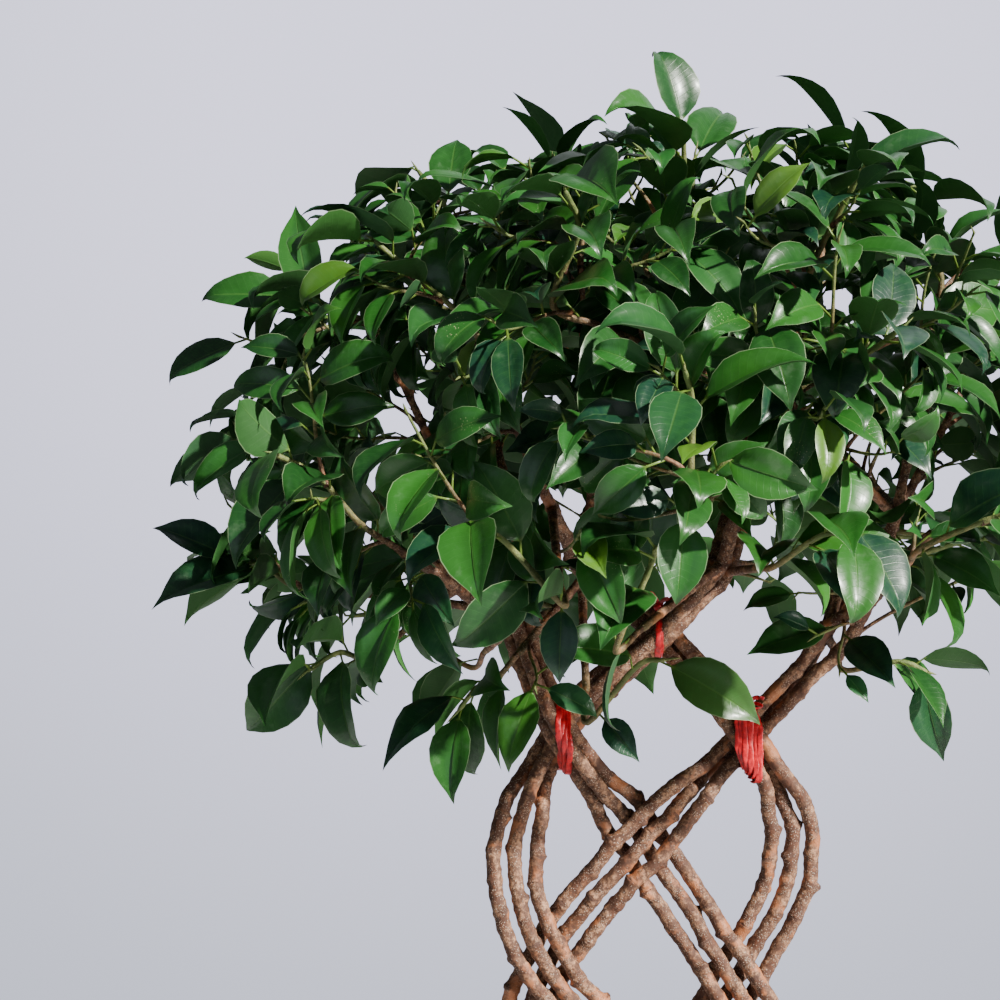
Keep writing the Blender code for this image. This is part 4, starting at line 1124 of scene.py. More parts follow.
def sleeves(rings, poles, along, back=None):
    """Closed sleeves of one grid: rings is (m, n, k, 3), n rings of k points for each of m sleeves; poles is
    (m, 2, 3), the points that close their ends; along is (m, n), the second coordinate of the map that lies
    on the surface. The first coordinate runs round the ring from 0 to 1. Quads of the ring's back, from the
    point of that number on, start one corner on, so that a thin blade splits into triangles alike on both
    faces."""
    m, n, k, _ = rings.shape
    points = np.concatenate([rings.reshape(m, n * k, 3), poles], axis=1).reshape(-1, 3)
    r, j = (a.ravel() for a in np.meshgrid(np.arange(n - 1), np.arange(k), indexing="ij"))
    quads = np.stack([r * k + j, r * k + (j + 1) % k, (r + 1) * k + (j + 1) % k, (r + 1) * k + j], axis=1)
    j1 = np.arange(k)
    first = np.stack([np.full(k, n * k), (j1 + 1) % k, j1], axis=1)
    last = np.stack([np.full(k, n * k + 1), (n - 1) * k + j1, (n - 1) * k + (j1 + 1) % k], axis=1)
    offset = (np.arange(m) * (n * k + 2))[:, None, None]
    round_quads = np.stack([j, j + 1, j + 1, j], axis=1) / k
    row_quads = np.stack([r, r, r + 1, r + 1], axis=1)
    for corners in (quads, round_quads, row_quads):
        behind = j >= (back or k // 2)
        corners[behind] = np.roll(corners[behind], -1, axis=1)
    round_quads = np.broadcast_to(round_quads, (m, *round_quads.shape))
    map_quads = np.stack([round_quads, along[:, row_quads]], axis=-1)
    round_first = np.stack([j1 + 0.5, j1 + 1.0, j1], axis=1) / k
    round_last = np.stack([j1 + 0.5, j1, j1 + 1.0], axis=1) / k
    rounds = np.concatenate([round_first, round_last])
    rows = np.repeat([[0], [n - 1]], k, axis=0).repeat(3, axis=1)
    map_ends = np.stack([np.broadcast_to(rounds, (m, *rounds.shape)), along[:, rows]], axis=-1)
    return {
        "points": points,
        "faces": [(quads + offset).reshape(-1, 4), (np.concatenate([first, last]) + offset).reshape(-1, 3)],
        "maps": [map_quads.reshape(-1, 2), map_ends.reshape(-1, 2)],
        "shape": (m, n, k),
        "traits": {},
    }


def trait(sleeve, name, values):
    """Gives the sleeve's points a value each. values fits (m, n, k); a pole takes the mean of its ring."""
    m, n, k = sleeve["shape"]
    full = np.broadcast_to(values, (m, n, k))
    ends = full[:, [0, -1]].mean(axis=2)
    sleeve["traits"][name] = np.concatenate([full.reshape(m, n * k), ends], axis=1).ravel()
    return sleeve


def merged(parts):
    """Several shapes as one."""
    shift = np.cumsum([0] + [len(p["points"]) for p in parts[:-1]])
    return {
        "points": np.vstack([p["points"] for p in parts]),
        "faces": [np.vstack([p["faces"][i] + s for p, s in zip(parts, shift)]) for i in (0, 1)],
        "maps": [np.vstack([p["maps"][i] for p in parts]) for i in (0, 1)],
        "traits": {name: np.concatenate([p["traits"][name] for p in parts]) for name in parts[0]["traits"]},
    }


def in_scene(name, data):
    """A new object that shows the data."""
    obj = bpy.data.objects.new(name, data)
    bpy.context.scene.collection.objects.link(obj)
    return obj


def piece(name, shape, finish, replaced):
    """The shape as a mesh object that rides on the part and takes the place of the solids named."""
    mesh = bpy.data.meshes.new(name)
    corners = np.concatenate([faces.ravel() for faces in shape["faces"]])
    sizes = np.concatenate([np.full(len(faces), faces.shape[1]) for faces in shape["faces"]])
    mesh.vertices.add(len(shape["points"]))
    mesh.vertices.foreach_set("co", shape["points"].ravel())
    mesh.loops.add(len(corners))
    mesh.loops.foreach_set("vertex_index", corners.astype(np.int32))
    mesh.polygons.add(len(sizes))
    mesh.polygons.foreach_set("loop_start", np.concatenate([[0], np.cumsum(sizes)[:-1]]).astype(np.int32))
    mesh.update(calc_edges=True)
    mesh.shade_smooth()
    layer = mesh.uv_layers.new(name="surface")
    layer.uv.foreach_set("vector", np.vstack(shape["maps"]).ravel())
    for trait_name, values in shape["traits"].items():
        mesh.attributes.new(trait_name, "FLOAT", "POINT").data.foreach_set("value", values.astype(np.float32))
    mesh.materials.append(finish)
    obj = in_scene(name, mesh)
    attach(obj, "root")
    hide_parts(*replaced)
    return obj


def crease_rims(obj):
    """Marks the two rims of every blade as sharp, so that its upper and lower faces shade apart."""
    mesh = obj.data
    sides, rings = len(RING_ACROSS), len(BLADE_ROWS) + 1
    per_leaf = sides * rings + 2
    ends = np.empty(len(mesh.edges) * 2, np.int32)
    mesh.edges.foreach_get("vertices", ends)
    ends = ends.reshape(-1, 2) % per_leaf
    row, place = ends // sides, ends % sides
    blade = (row >= 1).all(axis=1) & (row < rings).all(axis=1)
    rim = (place[:, 0] == place[:, 1]) & np.isin(place[:, 0], RIMS) & blade
    to_tip = (ends == per_leaf - 1).any(axis=1) & np.isin(ends.min(axis=1) % sides, RIMS)
    mesh.attributes.new("sharp_edge", "BOOLEAN", "EDGE").data.foreach_set("value", rim | to_tip)


def frames(along):
    """Two directions across each step of a path, which turn as little as they can: they start from the
    direction that the path least follows."""
    least = np.linalg.svd(along)[2][2]
    across = unit(np.cross(along, least))
    return across, np.cross(along, across)


def rod(points, radii, sides, tip=0.0):
    """A plain round rod along the points, as one sleeve: a circle carried along the path. The last pole
    stands out by tip."""
    along = tangents(points)
    across, other = frames(along)
    circle = circles(across, other, turns_of(sides))
    rings = points[:, None] + circle * np.asarray(radii)[:, None, None]
    poles = np.stack([points[0], points[-1] + tip * along[-1]])
    return sleeves(rings[None], poles[None], lengths_along(points)[None])


def midrib_angle(bend, curl, at):
    """How far the midrib has turned away from the upper side, at shares of its length: by the bend, a little
    more of it towards the tip, and by the curl at the very tip."""
    return bend * at + curl * smoothstep(CURL_FROM, 1.0, at) + 0.25 * bend * (at**2 - at)


def blade_frames(take, base, at, rng):
    """The midrib of every leaf at shares of its length, and the directions across the blade and up from it
    there. The midrib is an arc that sways to one side, and the blade twists round it towards the tip."""
    m = len(base)
    blade, upper = take["blade"][:, None], take["upper"][:, None]
    side = np.cross(blade, upper)
    length, bend = take["length"][:, None], take["bend"][:, None]
    curl = rng.uniform(*TIP_CURL, (m, 1))
    sway = rng.normal(0.0, MIDRIB_SWAY, (m, 1))
    turned = midrib_angle(bend, curl, (np.arange(MIDRIB_STEPS) + 0.5) / MIDRIB_STEPS)
    steps = np.cos(turned)[..., None] * blade - np.sin(turned)[..., None] * upper
    path = np.concatenate([np.zeros((m, 1, 3)), np.cumsum(steps, axis=1) / MIDRIB_STEPS], axis=1)
    path = path * length[..., None]
    drift = (sway * length * at**2)[..., None] * side
    middle = base + path[:, np.round(at * MIDRIB_STEPS).astype(int)] + drift
    angle = midrib_angle(bend, curl, at)
    rise = np.cos(angle)[..., None] * upper + np.sin(angle)[..., None] * blade
    twist = rng.normal(0.0, BLADE_TWIST, (m, 1)) * at
    across = np.cos(twist)[..., None] * side + np.sin(twist)[..., None] * rise
    rise = np.cos(twist)[..., None] * rise - np.sin(twist)[..., None] * side
    return middle, across, rise


def blade_sheet(fold, half, at, rng):
    """Height of each ring's points over the midrib: each half of the blade rises by the fold, bulges between
    midrib and rim, and its rim waves."""
    m, v, rows = len(fold), RING_ACROSS, at[None, :, None]
    slope = 1.5 * fold[:, None, None] + rng.uniform(*BLADE_SLOPE, (m, 1, 1))
    bulge = rng.uniform(*BLADE_BULGE, (m, 1, 1))
    wave = rng.uniform(*RIM_WAVE, (m, 1, 1))
    phase = rng.uniform(0.0, 2 * math.pi, (m, 1, 1))
    waving = wave * v**2 * np.sin(2 * math.pi * RIM_WAVES * rows + phase + 1.3 * v)
    return (slope * np.abs(v) + bulge * 4 * (np.abs(v) - v**2) + waving) * half[..., None]


def stalk_rings(take, base):
    """The foot of every round stalk, sunk in the wood, and its rings there and at the base of the blade."""
    cosines, sines = np.cos(RING_ANGLE)[:, None], np.sin(RING_ANGLE)[:, None]

    def ring(centre, right, up):
        return centre[:, :, None] + STALK_RADIUS * (cosines * right[:, :, None] + sines * up[:, :, None])

    blade, upper, stalk = (take[key][:, None] for key in ("blade", "upper", "stalk"))
    side = np.cross(blade, upper)
    stalk_side = unit(side - (side * stalk).sum(axis=-1, keepdims=True) * stalk)
    foot = take["foot"][:, None] - STALK_FOOT_SUNK * stalk
    return foot, ring(foot, stalk_side, np.cross(stalk_side, stalk)), ring(base, side, upper)


def leaf_surface(leaves, rng):
    """All the leaves as thin closed blades on round stalks. A ring of six points goes over the upper face and
    back along the keel. The rings narrow to the tip by the outline, and their lift thins with them."""
    take = {key: np.array([leaf[key] for leaf in leaves], float) for key in leaves[0]}
    m, at = len(leaves), np.array(BLADE_ROWS + (1.0,))
    base = (take["foot"] + take["stalk"] * take["stalk_length"][:, None])[:, None]
    middle, across, rise = blade_frames(take, base, at, rng)
    half = 0.5 * take["width"][:, None] * np.array(BLADE_OUTLINE + (0.0,))
    sheet = blade_sheet(take["fold"], half, at, rng)
    lift = sheet + RING_LIFT * np.minimum(1.0, half[..., None] / THINNED_BELOW)
    sideways = across[:, :, None] * (RING_ACROSS * half[..., None])[..., None]
    blade_rings = middle[:, :, None] + sideways + rise[:, :, None] * lift[..., None]
    foot, foot_ring, base_ring = stalk_rings(take, base)
    rings = np.concatenate([foot_ring, base_ring, blade_rings[:, 1:-1]], axis=1)
    poles = np.concatenate([foot, middle[:, -1:]], axis=1)
    down = np.concatenate([[0.0], STALK_SHARE + (1 - STALK_SHARE) * at[:-1]])
    shape = sleeves(rings, poles, np.broadcast_to(down, (m, len(down))), back=RIMS[1])
    trait(shape, "tone", rng.uniform(0.0, 1.0, (m, 1, 1)))
    trait(shape, "hue", rng.uniform(0.0, 1.0, (m, 1, 1)))
    return trait(shape, "youth", take["youth"][:, None, None])


def leaf_scars(middle, s, radius, rng):
    """The leaf scars of a stem: how far up it each lies, which way it faces, how high it stands and whether
    it bears a stub. They turn round the stem by the golden angle, and are nearly flat under the tape."""
    scars = np.cumsum(rng.uniform(*SCAR_SPACING, int(s[-1] / SCAR_SPACING[0]) + 1))
    scars = scars[scars < s[-1]]
    facing = np.arange(len(scars)) * GOLDEN_ANGLE + rng.uniform(0.0, 2 * math.pi)
    facing = facing + rng.normal(0.0, SCAR_TURN, len(scars))
    height = rng.uniform(*SCAR_HEIGHT, len(scars)) * np.interp(scars, s, radius) / STEM_TOP_RADIUS
    stub = rng.uniform(0, 1, len(scars)) < STUB_SHARE
    height[stub] += STUB_HEIGHT
    at = np.stack([np.interp(scars, s, middle[:, i]) for i in range(3)], axis=1)
    for x, z in TIES.values():
        height[np.hypot(at[:, 0] - x, at[:, 2] - SOIL_HEIGHT - z) < TIE_REACH] *= SCAR_UNDER_TAPE
    return scars, facing, height, stub


def bark_surface(line, rng):
    """A stem as knotty bark. Its radius is that of the solid, smoothed, and rises at each leaf scar: a low
    ring, and a bump on one side that is steep above and long below. The stem leans to that side there. Waves
    of the radius keep the rest uneven."""
    middle = spline(line["points"], SMOOTHING)
    middle = resampled(middle, max(6, int(lengths_along(middle)[-1] / BARK_STEP)))
    s = lengths_along(middle)
    plain = np.array(line["radii"]) / (1 + KNOT_SWELL * line.get("knots", np.zeros(len(line["radii"]))))
    radius = np.interp(s, np.linspace(0, s[-1], len(plain)), plain)
    scars, facing, height, stub = leaf_scars(middle, s, radius, rng)
    turn = turns_of(BARK_SIDES)
    away = s[:, None] - scars
    along_scar = np.exp(-((away / np.where(away > 0, SCAR_ABOVE, SCAR_BELOW)) ** 2))
    ring_rise = SCAR_RING_SHARE * np.exp(-((away / SCAR_RING_WIDTH) ** 2))
    round_scar = np.exp((np.cos(turn[:, None] - facing) - 1) / np.where(stub, STUB_SPREAD, SCAR_SPREAD))
    bumps = (height * (along_scar[:, None] * round_scar + ring_rise[:, None])).sum(axis=2)
    waves = sum(
        rng.uniform(0.4, 1.0) * np.sin(f * s[:, None] + g * turn + rng.uniform(0, 6)) for f, g in BARK_WAVES
    )
    out = BARK_SLACK * radius[:, None] + bumps + BARK_WAVE * waves * (radius[:, None] / STEM_TOP_RADIUS)
    across, other = frames(tangents(middle))
    circle = circles(across, other, turn)
    lean = KNOT_LEAN * height * np.exp(-((away / KNOT_LEAN_LENGTH) ** 2))
    middle = middle + (lean @ np.cos(facing))[:, None] * across + (lean @ np.sin(facing))[:, None] * other
    rings = middle[:, None] + circle * out[..., None]
    shape = sleeves(rings[None], np.stack([middle[0], middle[-1]])[None], s[None])
    ring_mark = np.exp(-((away / SCAR_MARK_WIDTH) ** 2))
    dark = (along_scar[:, None] * round_scar).sum(axis=2)
    dark = dark + SCAR_MARK_DARKNESS * ring_mark.sum(axis=1)[:, None]
    trait(shape, "scar", np.clip(dark, 0, 1)[None])
    return shape, s


def bough_surface(line, rng, step, sides, foot=0.0):
    """A side bough or twig: a round rod on a smooth curve through its points. Its radius follows the solid,
    flares where it leaves its bearer by foot times itself, and swells a little at every node."""
    middle = spline(line["points"], SMOOTHING)
    middle = resampled(middle, max(5, int(lengths_along(middle)[-1] / step)))
    s = lengths_along(middle)
    radius = np.interp(s, np.linspace(0, s[-1], len(line["radii"])), line["radii"])
    radius = radius * (1 + foot * np.exp(-s / (1.6 * radius[0])))
    spacing = rng.uniform(*NODE_SPACING)
    nodes = np.exp(-((((s + 0.4 * spacing) % spacing - 0.5 * spacing) / NODE_WIDTH) ** 2))
    radius = radius * (1 + NODE_SWELL * nodes)
    radius[-1] *= 0.7
    shape = rod(middle, radius, sides, tip=0.3 * radius[-1])
    trait(shape, "scar", 0.55 * nodes[None, :, None])
    return shape, s


def bud_surface(twig, rng):
    """The thin green spike of furled leaf at a twig's end, a cone that leans a little."""
    tip = twig["points"][-1]
    along = tangents(twig["points"])[-1]
    length = BUD_LENGTH * rng.uniform(0.7, 1.5)
    lean = unit(along + rng.normal(0.0, 0.25, 3))
    points = np.array([tip - BUD_SUNK * along, tip + 0.3 * length * along, tip + 0.75 * length * lean])
    shape = rod(points, BUD_RADII, 6, tip=0.3 * length)
    trait(shape, "scar", 0.0)
    return trait(shape, "youth", 1.0)


def wood_of(stem, lines, twigs, rng):
    """Everything woody that one stem bears, as one shape: the stem, its side boughs, the twigs of its
    shoots, its side twigs and their buds. Youth runs from 0 on old bark to 1 on green twigs."""
    parts = []
    for line in lines:
        if line["wood"] != stem:
            continue
        if line["root"] is None:
            shape, s = bark_surface(line, rng)
            youth = 0.45 * smoothstep(s[-1] - 0.30, s[-1], s)
        elif not is_shoot(line):
            shape, s = bough_surface(line, rng, BOUGH_STEP, BOUGH_SIDES, foot=0.45)
            youth = 0.20 + 0.35 * s / s[-1]
        else:
            shape, s = bough_surface(line, rng, SHOOT_STEP, SHOOT_SIDES)
            youth = 0.45 + 0.45 * s / s[-1]
            parts.append(bud_surface(line, rng))
        parts.append(trait(shape, "youth", youth[None, :, None]))
    for twig in twigs:
        if lines[twig["bearer"]]["wood"] == stem:
            shape, s = bough_surface(twig, rng, TWIG_STEP, TWIG_SIDES, foot=0.5)
            youth = 0.35 + 0.55 * s / s[-1]
            parts.append(trait(shape, "youth", youth[None, :, None]))
            parts.append(bud_surface(twig, rng))
    return merged(parts)


# Tape


def ribbon(points, out, width, thickness, phase):
    """Flat tape along the points, with its broad side towards out. Its section is a flattened ring of ten
    points, and its width and edges wander slowly, as creased tape does."""
    along = tangents(points)
    side = unit(np.cross(out, along))
    out = np.cross(along, side)
    s = lengths_along(points)
    turn = turns_of(10)
    wide = 0.5 * width * (1 + 0.12 * np.sin(310 * s + phase) + 0.07 * np.sin(730 * s + 2 * phase))
    crease = 0.25 * thickness * np.sin(2.0 * turn + 260 * s[:, None] + phase)
    flat = np.sign(np.cos(turn)) * np.abs(np.cos(turn)) ** 0.8
    rings = (
        points[:, None]
        + side[:, None] * (wide[:, None] * flat)[..., None]
        + out[:, None] * (0.5 * thickness * np.sin(turn) + crease * np.abs(np.sin(turn)))[..., None]
    )
    poles = np.stack([points[0], points[-1]])
    return sleeves(rings[None], poles[None], s[None])


def tape_path(x, low, high, spots, radii, turned_to):
    """One winding of tape as points and outward directions. For each direction in the plane across x it
    touches that cross-section of a stem which reaches furthest that way."""
    centre = 0.5 * (low + high)
    aside = np.abs(spots[:, 0][None] - x[:, None])
    within = (aside < radii) & (spots[:, 2] > low[2]) & (spots[:, 2] < high[2])
    reach = np.sqrt(np.maximum(radii**2 - aside**2, 0.0)) + 0.5 * TAPE_THICKNESS + TAPE_OFF_STEM
    out = np.stack([np.cos(turned_to), np.sin(turned_to)], axis=1)
    support = np.where(within, out @ (spots[:, 1:] - centre[1:]).T + reach, -1.0)
    k = support.argmax(axis=1)
    flat = spots[k, 1:] + out * reach[np.arange(len(k)), k][:, None]
    return np.column_stack([x, flat])


def winding(name, low, high, stems, rng):
    """The main strip of a tie as a path round its crossing. Its turns lie side by side by the tie's offsets,
    and are drawn together above and below the stems."""
    middle = 0.5 * (low + high)
    spots = np.vstack([resampled(line["points"], TAPE_SPOTS) for line in stems])
    radii = np.concatenate([thickness_at(line, TAPE_SPOTS) for line in stems])
    near = np.linalg.norm(spots - middle, axis=1) < TAPE_NEAR
    offsets = np.array(TAPE_TURNS[name]) * MM
    turns = len(offsets)
    turned_to = KNOT_AT + np.linspace(-0.04, turns * 2 * math.pi + 0.04, 150 * turns)
    drift = np.interp(turned_to - KNOT_AT, (np.arange(turns) + 0.5) * 2 * math.pi, offsets)
    fan = TAPE_GATHERED + (1.0 - TAPE_GATHERED) * np.cos(turned_to) ** 2
    x = middle[0] + drift * fan + 0.5 * MM * np.sin(2.3 * turned_to + rng.uniform(0, 6))
    path = tape_path(x, low, high, spots[near], radii[near], turned_to)
    path = resampled(path, 90 * turns)
    for _ in range(3):
        path[1:-1] = 0.25 * path[:-2] + 0.5 * path[1:-1] + 0.25 * path[2:]
    along = tangents(path)
    out = unit(np.cross(along, np.array([1.0, 0.0, 0.0])))
    path = path + out * (0.22 * MM * np.sin(np.linspace(0, 9 * turns, len(path))))[:, None]
    return path, out, along


def loose_end(knot, out, side, way, rng):
    """One end of the tape: a short curl that leaves the knot outwards and falls to one side."""
    lean = unit(0.9 * out + way * 0.8 * side + 0.5 * UP + rng.normal(0.0, 0.2, 3))
    start = knot + 1.5 * MM * out + way * 1.0 * MM * side
    long = rng.uniform(*TAPE_END_LENGTH)
    end = start + long * lean - 4 * MM * UP
    tail = bezier(start, start + 0.4 * long * out, start + 0.7 * long * lean, end, 14)
    facing = np.cross(tangents(tail), side)
    return ribbon(tail, facing, 0.7 * TAPE_WIDTH, 0.8 * TAPE_THICKNESS, 2.0 + way)


def tape_surface(name, stems, rng):
    """A tie as one strip of tape wound round its crossing, a short cross winding that holds it, and its two
    loose ends."""
    low, high = (np.array(corner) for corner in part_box(name))
    path, out, along = winding(name, low, high, stems, rng)
    parts = [ribbon(path, out, TAPE_WIDTH, TAPE_THICKNESS, rng.uniform(0, 6))]
    knot = 0.5 * (path[0] + path[-1])
    out, along = unit(out[0] + out[-1]), unit(along[0] + along[-1])
    side = np.cross(along, out)
    a = np.linspace(0.0, 2.6 * math.pi, 34)[:, None]
    half = 0.5 * (TAPE_TURNS[name][-1] * MM - TAPE_TURNS[name][0] * MM) + 1.4 * MM
    cross = knot + 0.8 * MM * out + half * np.cos(a) * side
    cross = cross + 2.1 * MM * np.sin(a) * out + 0.5 * MM * a * along
    parts.append(ribbon(cross, unit(cross - knot + 1e-5), 0.8 * TAPE_WIDTH, TAPE_THICKNESS, 1.0))
    parts += [loose_end(knot, out, side, way, rng) for way in (-1, 1)]
    return merged(parts)


# Pot and potting mix


def turned_surface(profile, sides, lift=None):
    """A surface of revolution about the z axis: each (radius, height) of the profile is a ring, and its
    first and last points are poles. lift(angle, height) moves a point outwards along the profile's normal."""
    profile = np.asarray(profile, float)
    turn = turns_of(sides)
    r, z = profile[1:-1, 0][:, None], profile[1:-1, 1][:, None]
    step = np.gradient(profile, axis=0)[1:-1]
    normal = unit(np.stack([step[:, 1], -step[:, 0]], axis=1))[:, None]
    out = lift(turn, z) if lift else 0.0 * turn
    r, z = r + out * normal[..., 0], z + out * normal[..., 1]
    rings = np.stack([r * np.cos(turn), r * np.sin(turn), np.broadcast_to(z, r.shape)], axis=-1)
    poles = np.array([[0.0, 0.0, profile[0, 1]], [0.0, 0.0, profile[-1, 1]]])
    return sleeves(rings[None], poles[None], lengths_along(profile)[None, 1:-1])


def pot_wall_radius(z):
    """Outer radius of the tapered wall at height z."""
    return POT_FOOT_RADIUS + (POT_TOP_RADIUS - POT_RIM_LEDGE - POT_FOOT_RADIUS) * z / POT_HEIGHT


def arc(cx, cz, r, start, stop, steps):
    """Points on an arc in the profile's plane, angles in degrees."""
    angles = np.radians(np.linspace(start, stop, steps))
    return [(cx + r * math.cos(a), cz + r * math.sin(a)) for a in angles]


def pot_surface():
    """The pot: its profile runs from under the foot up the outer wall, over the rounded rim and down inside.
    Throwing rings run round the wall, and the foot has a shallow hollow."""
    e = POT_EDGE_ROUND
    rim_under = POT_HEIGHT - POT_RIM_HEIGHT
    inner_top = POT_TOP_RADIUS - POT_RIM_LEDGE - POT_WALL
    heights = np.linspace(1.6 * e, rim_under - 0.007, 46)
    inner = np.linspace(POT_HEIGHT - 2 * e, POT_FLOOR + 0.004, 20)
    hollow = [(r, POT_HOLLOW) for r in (0.0, 0.3 * POT_FOOT_RADIUS, POT_FOOT_RADIUS - 0.016)]
    floor = [(r, POT_FLOOR) for r in (0.9 * (POT_FOOT_RADIUS - POT_WALL), 0.4 * POT_FOOT_RADIUS, 0.0)]
    profile = (
        hollow
        + [(POT_FOOT_RADIUS - 0.013, 0.0)]
        + arc(POT_FOOT_RADIUS - e, e, e, -90, 0, 7)
        + [(pot_wall_radius(z), z) for z in heights]
        + arc(pot_wall_radius(rim_under), rim_under - 0.0055, 0.0025, -30, 60, 4)
        + arc(POT_TOP_RADIUS - 0.003, rim_under + 0.003, 0.003, -80, 0, 5)
        + [(POT_TOP_RADIUS, rim_under + 0.006), (POT_TOP_RADIUS, POT_HEIGHT - 2 * e)]
        + arc(POT_TOP_RADIUS - e, POT_HEIGHT - e, e, 0, 90, 7)
        + arc(inner_top + e, POT_HEIGHT - e, e, 90, 180, 7)
        + [(pot_wall_radius(z) - POT_WALL, z) for z in inner]
        + floor
    )

    def rings(turn, z):
        on_wall = smoothstep(0.012, 0.03, z) * (1 - smoothstep(rim_under - 0.02, rim_under - 0.008, z))
        waves = np.sin(z * 900 + 0.6 * np.sin(2 * turn)) + 0.6 * np.sin(z * 390 + 1.2 * turn)
        return THROWING_RINGS * on_wall * waves

    return turned_surface(profile, POT_SIDES, rings)


def mix_height(x, y):
    """Height of the potting mix: the solid's mound with lumps of several sizes."""
    far = np.hypot(x, y) / (pot_wall_radius(SOIL_HEIGHT) - POT_WALL)
    lumps = 0
    for height, waves, turn, phase in LUMPS:
        along = np.sin(waves * (x * math.cos(turn) + y * math.sin(turn)) + phase)
        across = np.sin(waves * (y * math.cos(turn) - x * math.sin(turn)) + 1.7 * phase)
        lumps = lumps + height * along * across
    return SOIL_HEIGHT + SOIL_MOUND * (1 - 1.6 * far**2) + lumps * MM


def mix_surface(rng):
    """The potting mix: a mounded, lumpy disc that fills the pot, with crumbs of bark and grit on it."""
    wide = pot_wall_radius(SOIL_HEIGHT) - POT_WALL - 2 * FIT_GAP
    deep = SOIL_HEIGHT - 0.05
    profile = [(0.0, deep), (0.5 * wide, deep), (0.96 * wide, deep), (0.985 * wide, SOIL_HEIGHT - 0.02)]
    profile += [(wide * share, SOIL_HEIGHT) for share in np.linspace(1.0, 0.0, 46)]
    disc = turned_surface(profile, SOIL_SIDES)
    points = disc["points"]
    top = points[:, 2] > SOIL_HEIGHT - 1e-6
    points[top, 2] = mix_height(points[top, 0], points[top, 1])
    trait(disc, "grit", 0.0)
    r = wide * 0.985 * np.sqrt(rng.uniform(0, 1, CRUMBS))
    turn = rng.uniform(0, 2 * math.pi, CRUMBS)
    size = rng.uniform(*CRUMB_SIZE, CRUMBS) * MM
    x, y = np.minimum(r, wide - size) * np.cos(turn), np.minimum(r, wide - size) * np.sin(turn)
    centre = np.stack([x, y, mix_height(x, y) + 0.25 * size], axis=1)
    crumbs = crumb_shapes(centre, size, rng)
    trait(crumbs, "grit", rng.uniform(0, 1, CRUMBS)[:, None, None])
    return merged([disc, crumbs])


def crumb_shapes(centre, size, rng):
    """Angular crumbs: each is a ball of two rings and two poles whose points are pulled about, flattened and
    turned at random."""
    m, k = len(centre), 6
    a = turns_of(k)
    ring = np.stack([np.cos(a), np.sin(a), 0 * a], axis=1)
    rings = np.stack([0.85 * ring - [0, 0, 0.45], 0.85 * ring + [0, 0, 0.45]])[None]
    poles = np.array([[[0.0, 0.0, -0.9], [0.0, 0.0, 0.9]]])
    spin = np.linalg.qr(rng.normal(0.0, 1.0, (m, 3, 3)))[0]
    spin[np.linalg.det(spin) < 0] *= -1
    scale = size[:, None, None] * (spin * rng.uniform(0.45, 1.0, (m, 1, 3)))
    rings = (rings + rng.normal(0.0, 0.12, (m, 2, k, 3))) @ scale.transpose(0, 2, 1)[:, None]
    poles = (poles + rng.normal(0.0, 0.10, (m, 2, 3))) @ scale.transpose(0, 2, 1)
    return sleeves(rings + centre[:, None, None], poles + centre[:, None], np.tile([[0.0, 1.0]], (m, 1)))


# Materials


class Wire:
    """A node's output that takes part in sums: each operator adds the Math node that works it out."""

    def __init__(self, paint, socket):
        self.paint, self.socket = paint, socket

    def maths(self, operation, *values):
        return self.paint.node("ShaderNodeMath", {"operation": operation}, values)

    def __add__(self, other):
        return self.maths("ADD", self, other)

    def __sub__(self, other):
        return self.maths("SUBTRACT", self, other)

    def __rsub__(self, other):
        return self.maths("SUBTRACT", other, self)

    def __mul__(self, other):
        return self.maths("MULTIPLY", self, other)

    def __gt__(self, other):
        return self.maths("GREATER_THAN", self, other)

    def __abs__(self):
        return self.maths("ABSOLUTE", self)

    __radd__, __rmul__ = __add__, __mul__


